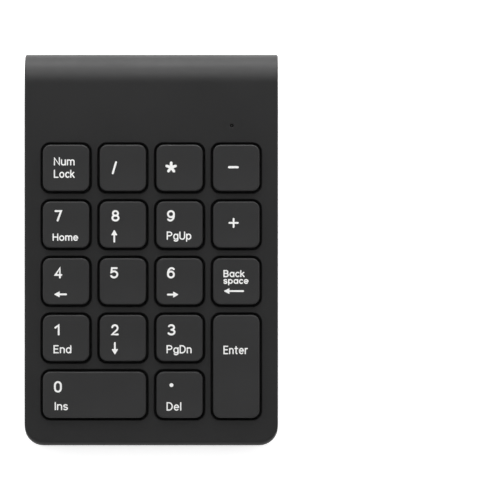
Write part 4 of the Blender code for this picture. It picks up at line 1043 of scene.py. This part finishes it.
def screw(name, cx, cy, seat, length, head_r, head_h, r, node):
    """Pan head with a cross recess; the thread is a row of fine ridges."""
    bm = bmesh.new()
    profile = [(0, seat + length), (r * 0.5, seat + length), (r * 0.8, seat + length - 0.5)]
    z = seat + length - 0.7
    while z > seat + 0.5:
        profile += [(r, z), (r * 0.78, z - 0.17)]
        z -= 0.34
    profile += [(r, seat + 0.3), (r, seat), (head_r - 0.08, seat), (head_r, seat - 0.1), (head_r, seat - head_h + 0.4),
                (head_r - 0.14, seat - head_h + 0.15), (head_r - 0.45, seat - head_h), (0, seat - head_h)]
    turned(bm, profile, (cx, cy, 0), segments=32)
    obj = helper(bm)
    bm = bmesh.new()
    block(bm, (cx - 0.95, cx + 0.95), (cy - 0.21, cy + 0.21), (seat - head_h - 1, seat - head_h + 0.6))
    other = helper(bm)
    boolean(obj, other, "DIFFERENCE")
    bm = bmesh.new()
    block(bm, (cx - 0.21, cx + 0.21), (cy - 0.95, cy + 0.95), (seat - head_h - 1, seat - head_h + 0.6))
    boolean(obj, helper(bm), "DIFFERENCE")
    dress(finished(obj, name), STEEL, "housing", "screw_steel", node)


STEEL = metal("screw_steel", (0.22, 0.22, 0.23), 0.36)
for side, s in (("left", -1), ("right", 1)):
    screw("screw_front_" + side, s * 19.0, 6.6, FRONT_SEAT, 4.85, 1.5, 1.1, 0.85, "case_screw_front_" + side)
    screw("screw_rear_" + side, s * 36.0, 108.5, REAR_SEAT, 4.85, 1.5, 1.1, 0.85, "case_screw_rear_" + side)
    screw("screw_clamp_" + side, s * 14.0, 109.0, -8.05, 4.2, 1.4, 0.65, 0.8, "clamp_screw_" + side)

# cell
bm = bmesh.new()
turned(bm, [(0, NUB_X), (2.3, NUB_X), (2.6, NUB_X - 0.08), (2.75, NUB_X - 0.3), (2.75, CELL_X1 + 0.05), (3.2, CELL_X1), (CELL_R - 0.9, CELL_X1),
            (CELL_R - 0.3, CELL_X1 - 0.1), (CELL_R, CELL_X1 - 0.5), (CELL_R, CELL_X0 + 0.5), (CELL_R - 0.25, CELL_X0 + 0.1),
            (CELL_R - 0.7, CELL_X0), (0, CELL_X0)], (0, BARREL_Y, BARREL_Z), "X", 64)
bmesh.ops.translate(bm, vec=(0, -BARREL_Y, -BARREL_Z), verts=bm.verts)
dress(made("cell", bm, (0, BARREL_Y, BARREL_Z)), cell_wrap("cell_sleeve"), "housing", "cell", "battery_cell")

# coil spring contact
bm = bmesh.new()
block(bm, (-27.9, -27.6), (BARREL_Y - 4, BARREL_Y + 4), (BARREL_Z - 4, BARREL_Z + 4), 0.08)
turns, per = 3.0, 36
path = []
for i in range(int(turns * per) + 1):
    t = i / (turns * per)
    a, r = 2 * math.pi * i / per, 3.1 - 1.0 * t
    path.append(Vector((-27.4 + 2.15 * t, BARREL_Y + r * math.cos(a), BARREL_Z + r * math.sin(a))))
rings = []
for i, p in enumerate(path):
    t = (path[min(i + 1, len(path) - 1)] - path[max(i - 1, 0)]).normalized()
    out = (p - Vector((p.x, BARREL_Y, BARREL_Z))).normalized()
    side_way = t.cross(out).normalized()
    out = side_way.cross(t)
    rings.append([p + (out * math.cos(b) + side_way * math.sin(b)) * 0.33 for b in [2 * math.pi * k / 10 for k in range(10)]])
skin(bm, rings)
dress(made("coil_contact", bm), metal("spring_nickel", (0.62, 0.60, 0.56), 0.25), "housing", "contact", "battery_spring_contact")

# inner parts keep their CAD shape
recoat("key_guide_plate", INSIDE)
SILICONE = silicone("silicone_mat")
MAT, DOME_TOP, TRAVEL = (-6.55, -6.05), -3.85, 2.0
bm = bmesh.new()
block(bm, (-37.2, 37.2), (9.4, 102.8), MAT)
mat = helper(bm)
bm = bmesh.new()
for x, y, _, _ in KEYS.values():
    rod(bm, (x, y), 2.7, MAT[0] - 1, MAT[1] + 1, 40)
for x in (-19.0, 19.0):
    for y in (45.6, 83.6):
        rod(bm, (x, y), 1.1, MAT[0] - 1, MAT[1] + 1, 24)
boolean(mat, helper(bm), "DIFFERENCE")
dress(finished(mat, "mat_sheet"), SILICONE, "housing", "silicone", "dome_mat")

# a dome under each key, standing on the sheet
for key, (x, y, _, _) in KEYS.items():
    bm = bmesh.new()
    turned(bm, [(0, -4.75), (1.1, -4.76), (1.42, -4.83), (1.56, -5.0), (2.62, -6.0), (2.7, -6.15), (3.75, -6.15), (3.75, -6.06), (3.5, -6.01),
                (3.3, -5.9), (3.16, -5.72), (3.06, -5.5), (2.12, -4.2), (2.03, -3.98), (1.9, -3.88), (1.72, DOME_TOP), (0.9, DOME_TOP), (0.75, DOME_TOP - 0.08),
                (0, DOME_TOP - 0.1)], (0, 0, 0), segments=40)
    dome = dress(made("dome_" + key[4:], bm, (x, y, 0), sharp=60), SILICONE, "housing", "silicone")
    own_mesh(dome)
for name in ("membrane_top", "membrane_spacer", "membrane_bottom"):
    recoat(name, film("film_" + name[9:]))
recoat("backing_plate", metal("zinc_sheet", (0.55, 0.56, 0.58), 0.38, (1, 0.05, 1)))
recoat("controller_board", solder_mask("solder_mask"))
recoat("controller_chip", moulded("epoxy_chip", 0.012, 0.5, grain=0.2))
recoat("crystal", metal("can_steel", (0.62, 0.62, 0.62), 0.22, (1, 0.1, 1)))
recoat("status_led", glassy("led_epoxy", (0.75, 0.74, 0.66), 0.15, 0.3))
recoat("membrane_clamp_bar", CLAMP)
recoat("slide_switch_body", metal("switch_can", (0.6, 0.6, 0.6), 0.3, (0.1, 1, 1)))
recoat("battery_plate_contact", metal("plate_nickel", (0.62, 0.60, 0.55), 0.28, (1, 1, 0.1)))
recoat("battery_wire_black", jacket("wire_jacket_black", (0.012, 0.012, 0.012)))
recoat("battery_wire_red", jacket("wire_jacket_red", (0.42, 0.012, 0.01)))
for name in ("stabilizer_wire_0", "stabilizer_wire_enter"):
    recoat(name, metal("wire_steel_" + name[16:], (0.58, 0.58, 0.6), 0.25))

# ------------------------------------------------------------------ floor, light, camera
bm = bmesh.new()
bmesh.ops.create_grid(bm, x_segments=2, y_segments=2, size=3.0)
mesh = bpy.data.meshes.new("floor")
bm.to_mesh(mesh)
bm.free()
floor = bpy.data.objects.new("floor", mesh)
bpy.context.scene.collection.objects.link(floor)
t = Tree("pale_floor")
cloud = t.noise(6.0, 2.0)
floor.data.materials.append(t.set(Base_Color=t.mix(t.span(cloud, 0.0, 1.0, 0.3, 0.7), (0.93, 0.93, 0.93), (0.95, 0.95, 0.95)), Roughness=0.9, Specular_IOR_Level=0.1, Emission_Color=(1, 1, 1), Emission_Strength=0.55))

world = bpy.data.worlds.new("studio")
world.use_nodes = True
tree = world.node_tree
ramp = tree.nodes.new("ShaderNodeMapRange")      # a pale sweep: bright low walls under a darker ceiling
for key, value in (("From Min", 0.0), ("From Max", 0.9), ("To Min", 0.82), ("To Max", 0.16)):
    ramp.inputs[key].default_value = value
split = tree.nodes.new("ShaderNodeSeparateXYZ")
tree.links.new(tree.nodes.new("ShaderNodeTexCoord").outputs["Generated"], split.inputs[0])
tree.links.new(split.outputs["Z"], ramp.inputs["Value"])
tree.nodes["Background"].inputs["Color"].default_value = (1, 1, 1, 1)
tree.links.new(ramp.outputs[0], tree.nodes["Background"].inputs["Strength"])
bpy.context.scene.world = world


def softbox(name, at, size, power, target=(0, 0, 0.01)):
    light = bpy.data.lights.new(name, "AREA")
    light.shape, light.size, light.size_y, light.energy = "RECTANGLE", size[0], size[1], power
    obj = bpy.data.objects.new(name, light)
    obj.location = at
    obj.rotation_euler = (Vector(target) - Vector(at)).to_track_quat("-Z", "Y").to_euler()
    bpy.context.scene.collection.objects.link(obj)
    return obj


softbox("left_box", (-0.62, 0.05, 0.55), (0.5, 0.7), 1.05)
softbox("right_box", (0.62, 0.05, 0.55), (0.5, 0.7), 1.05)
softbox("top_box", (0.0, -0.08, 1.0), (0.35, 0.35), 0.43)
softbox("rear_box", (0.0, 0.62, 0.6), (0.8, 0.5), 4.6)
softbox("front_box", (0.0, -0.5, 0.75), (0.3, 0.3), 0.68)
softbox("rear_strip", (0.0, 0.50, 0.09), (0.8, 0.18), 2.8)

camera = bpy.data.cameras.new("camera")
camera.sensor_width = 36.0
D, WIDE = 2.0, 0.1676
camera.lens = 36.0 * D / WIDE
camera.shift_x, camera.shift_y = 0.015, 0.015
camera.clip_start, camera.clip_end = 0.02, 20.0
view = bpy.data.objects.new("camera", camera)
bpy.context.scene.collection.objects.link(view)
view.location = DECK @ Vector((0.0331 - camera.shift_x * WIDE, 0.0656 - camera.shift_y * WIDE, D))
view.rotation_euler = (TILT, 0, 0)
bpy.context.scene.camera = view
bpy.context.scene.view_settings.view_transform = "Standard"

bpy.context.view_layer.update()
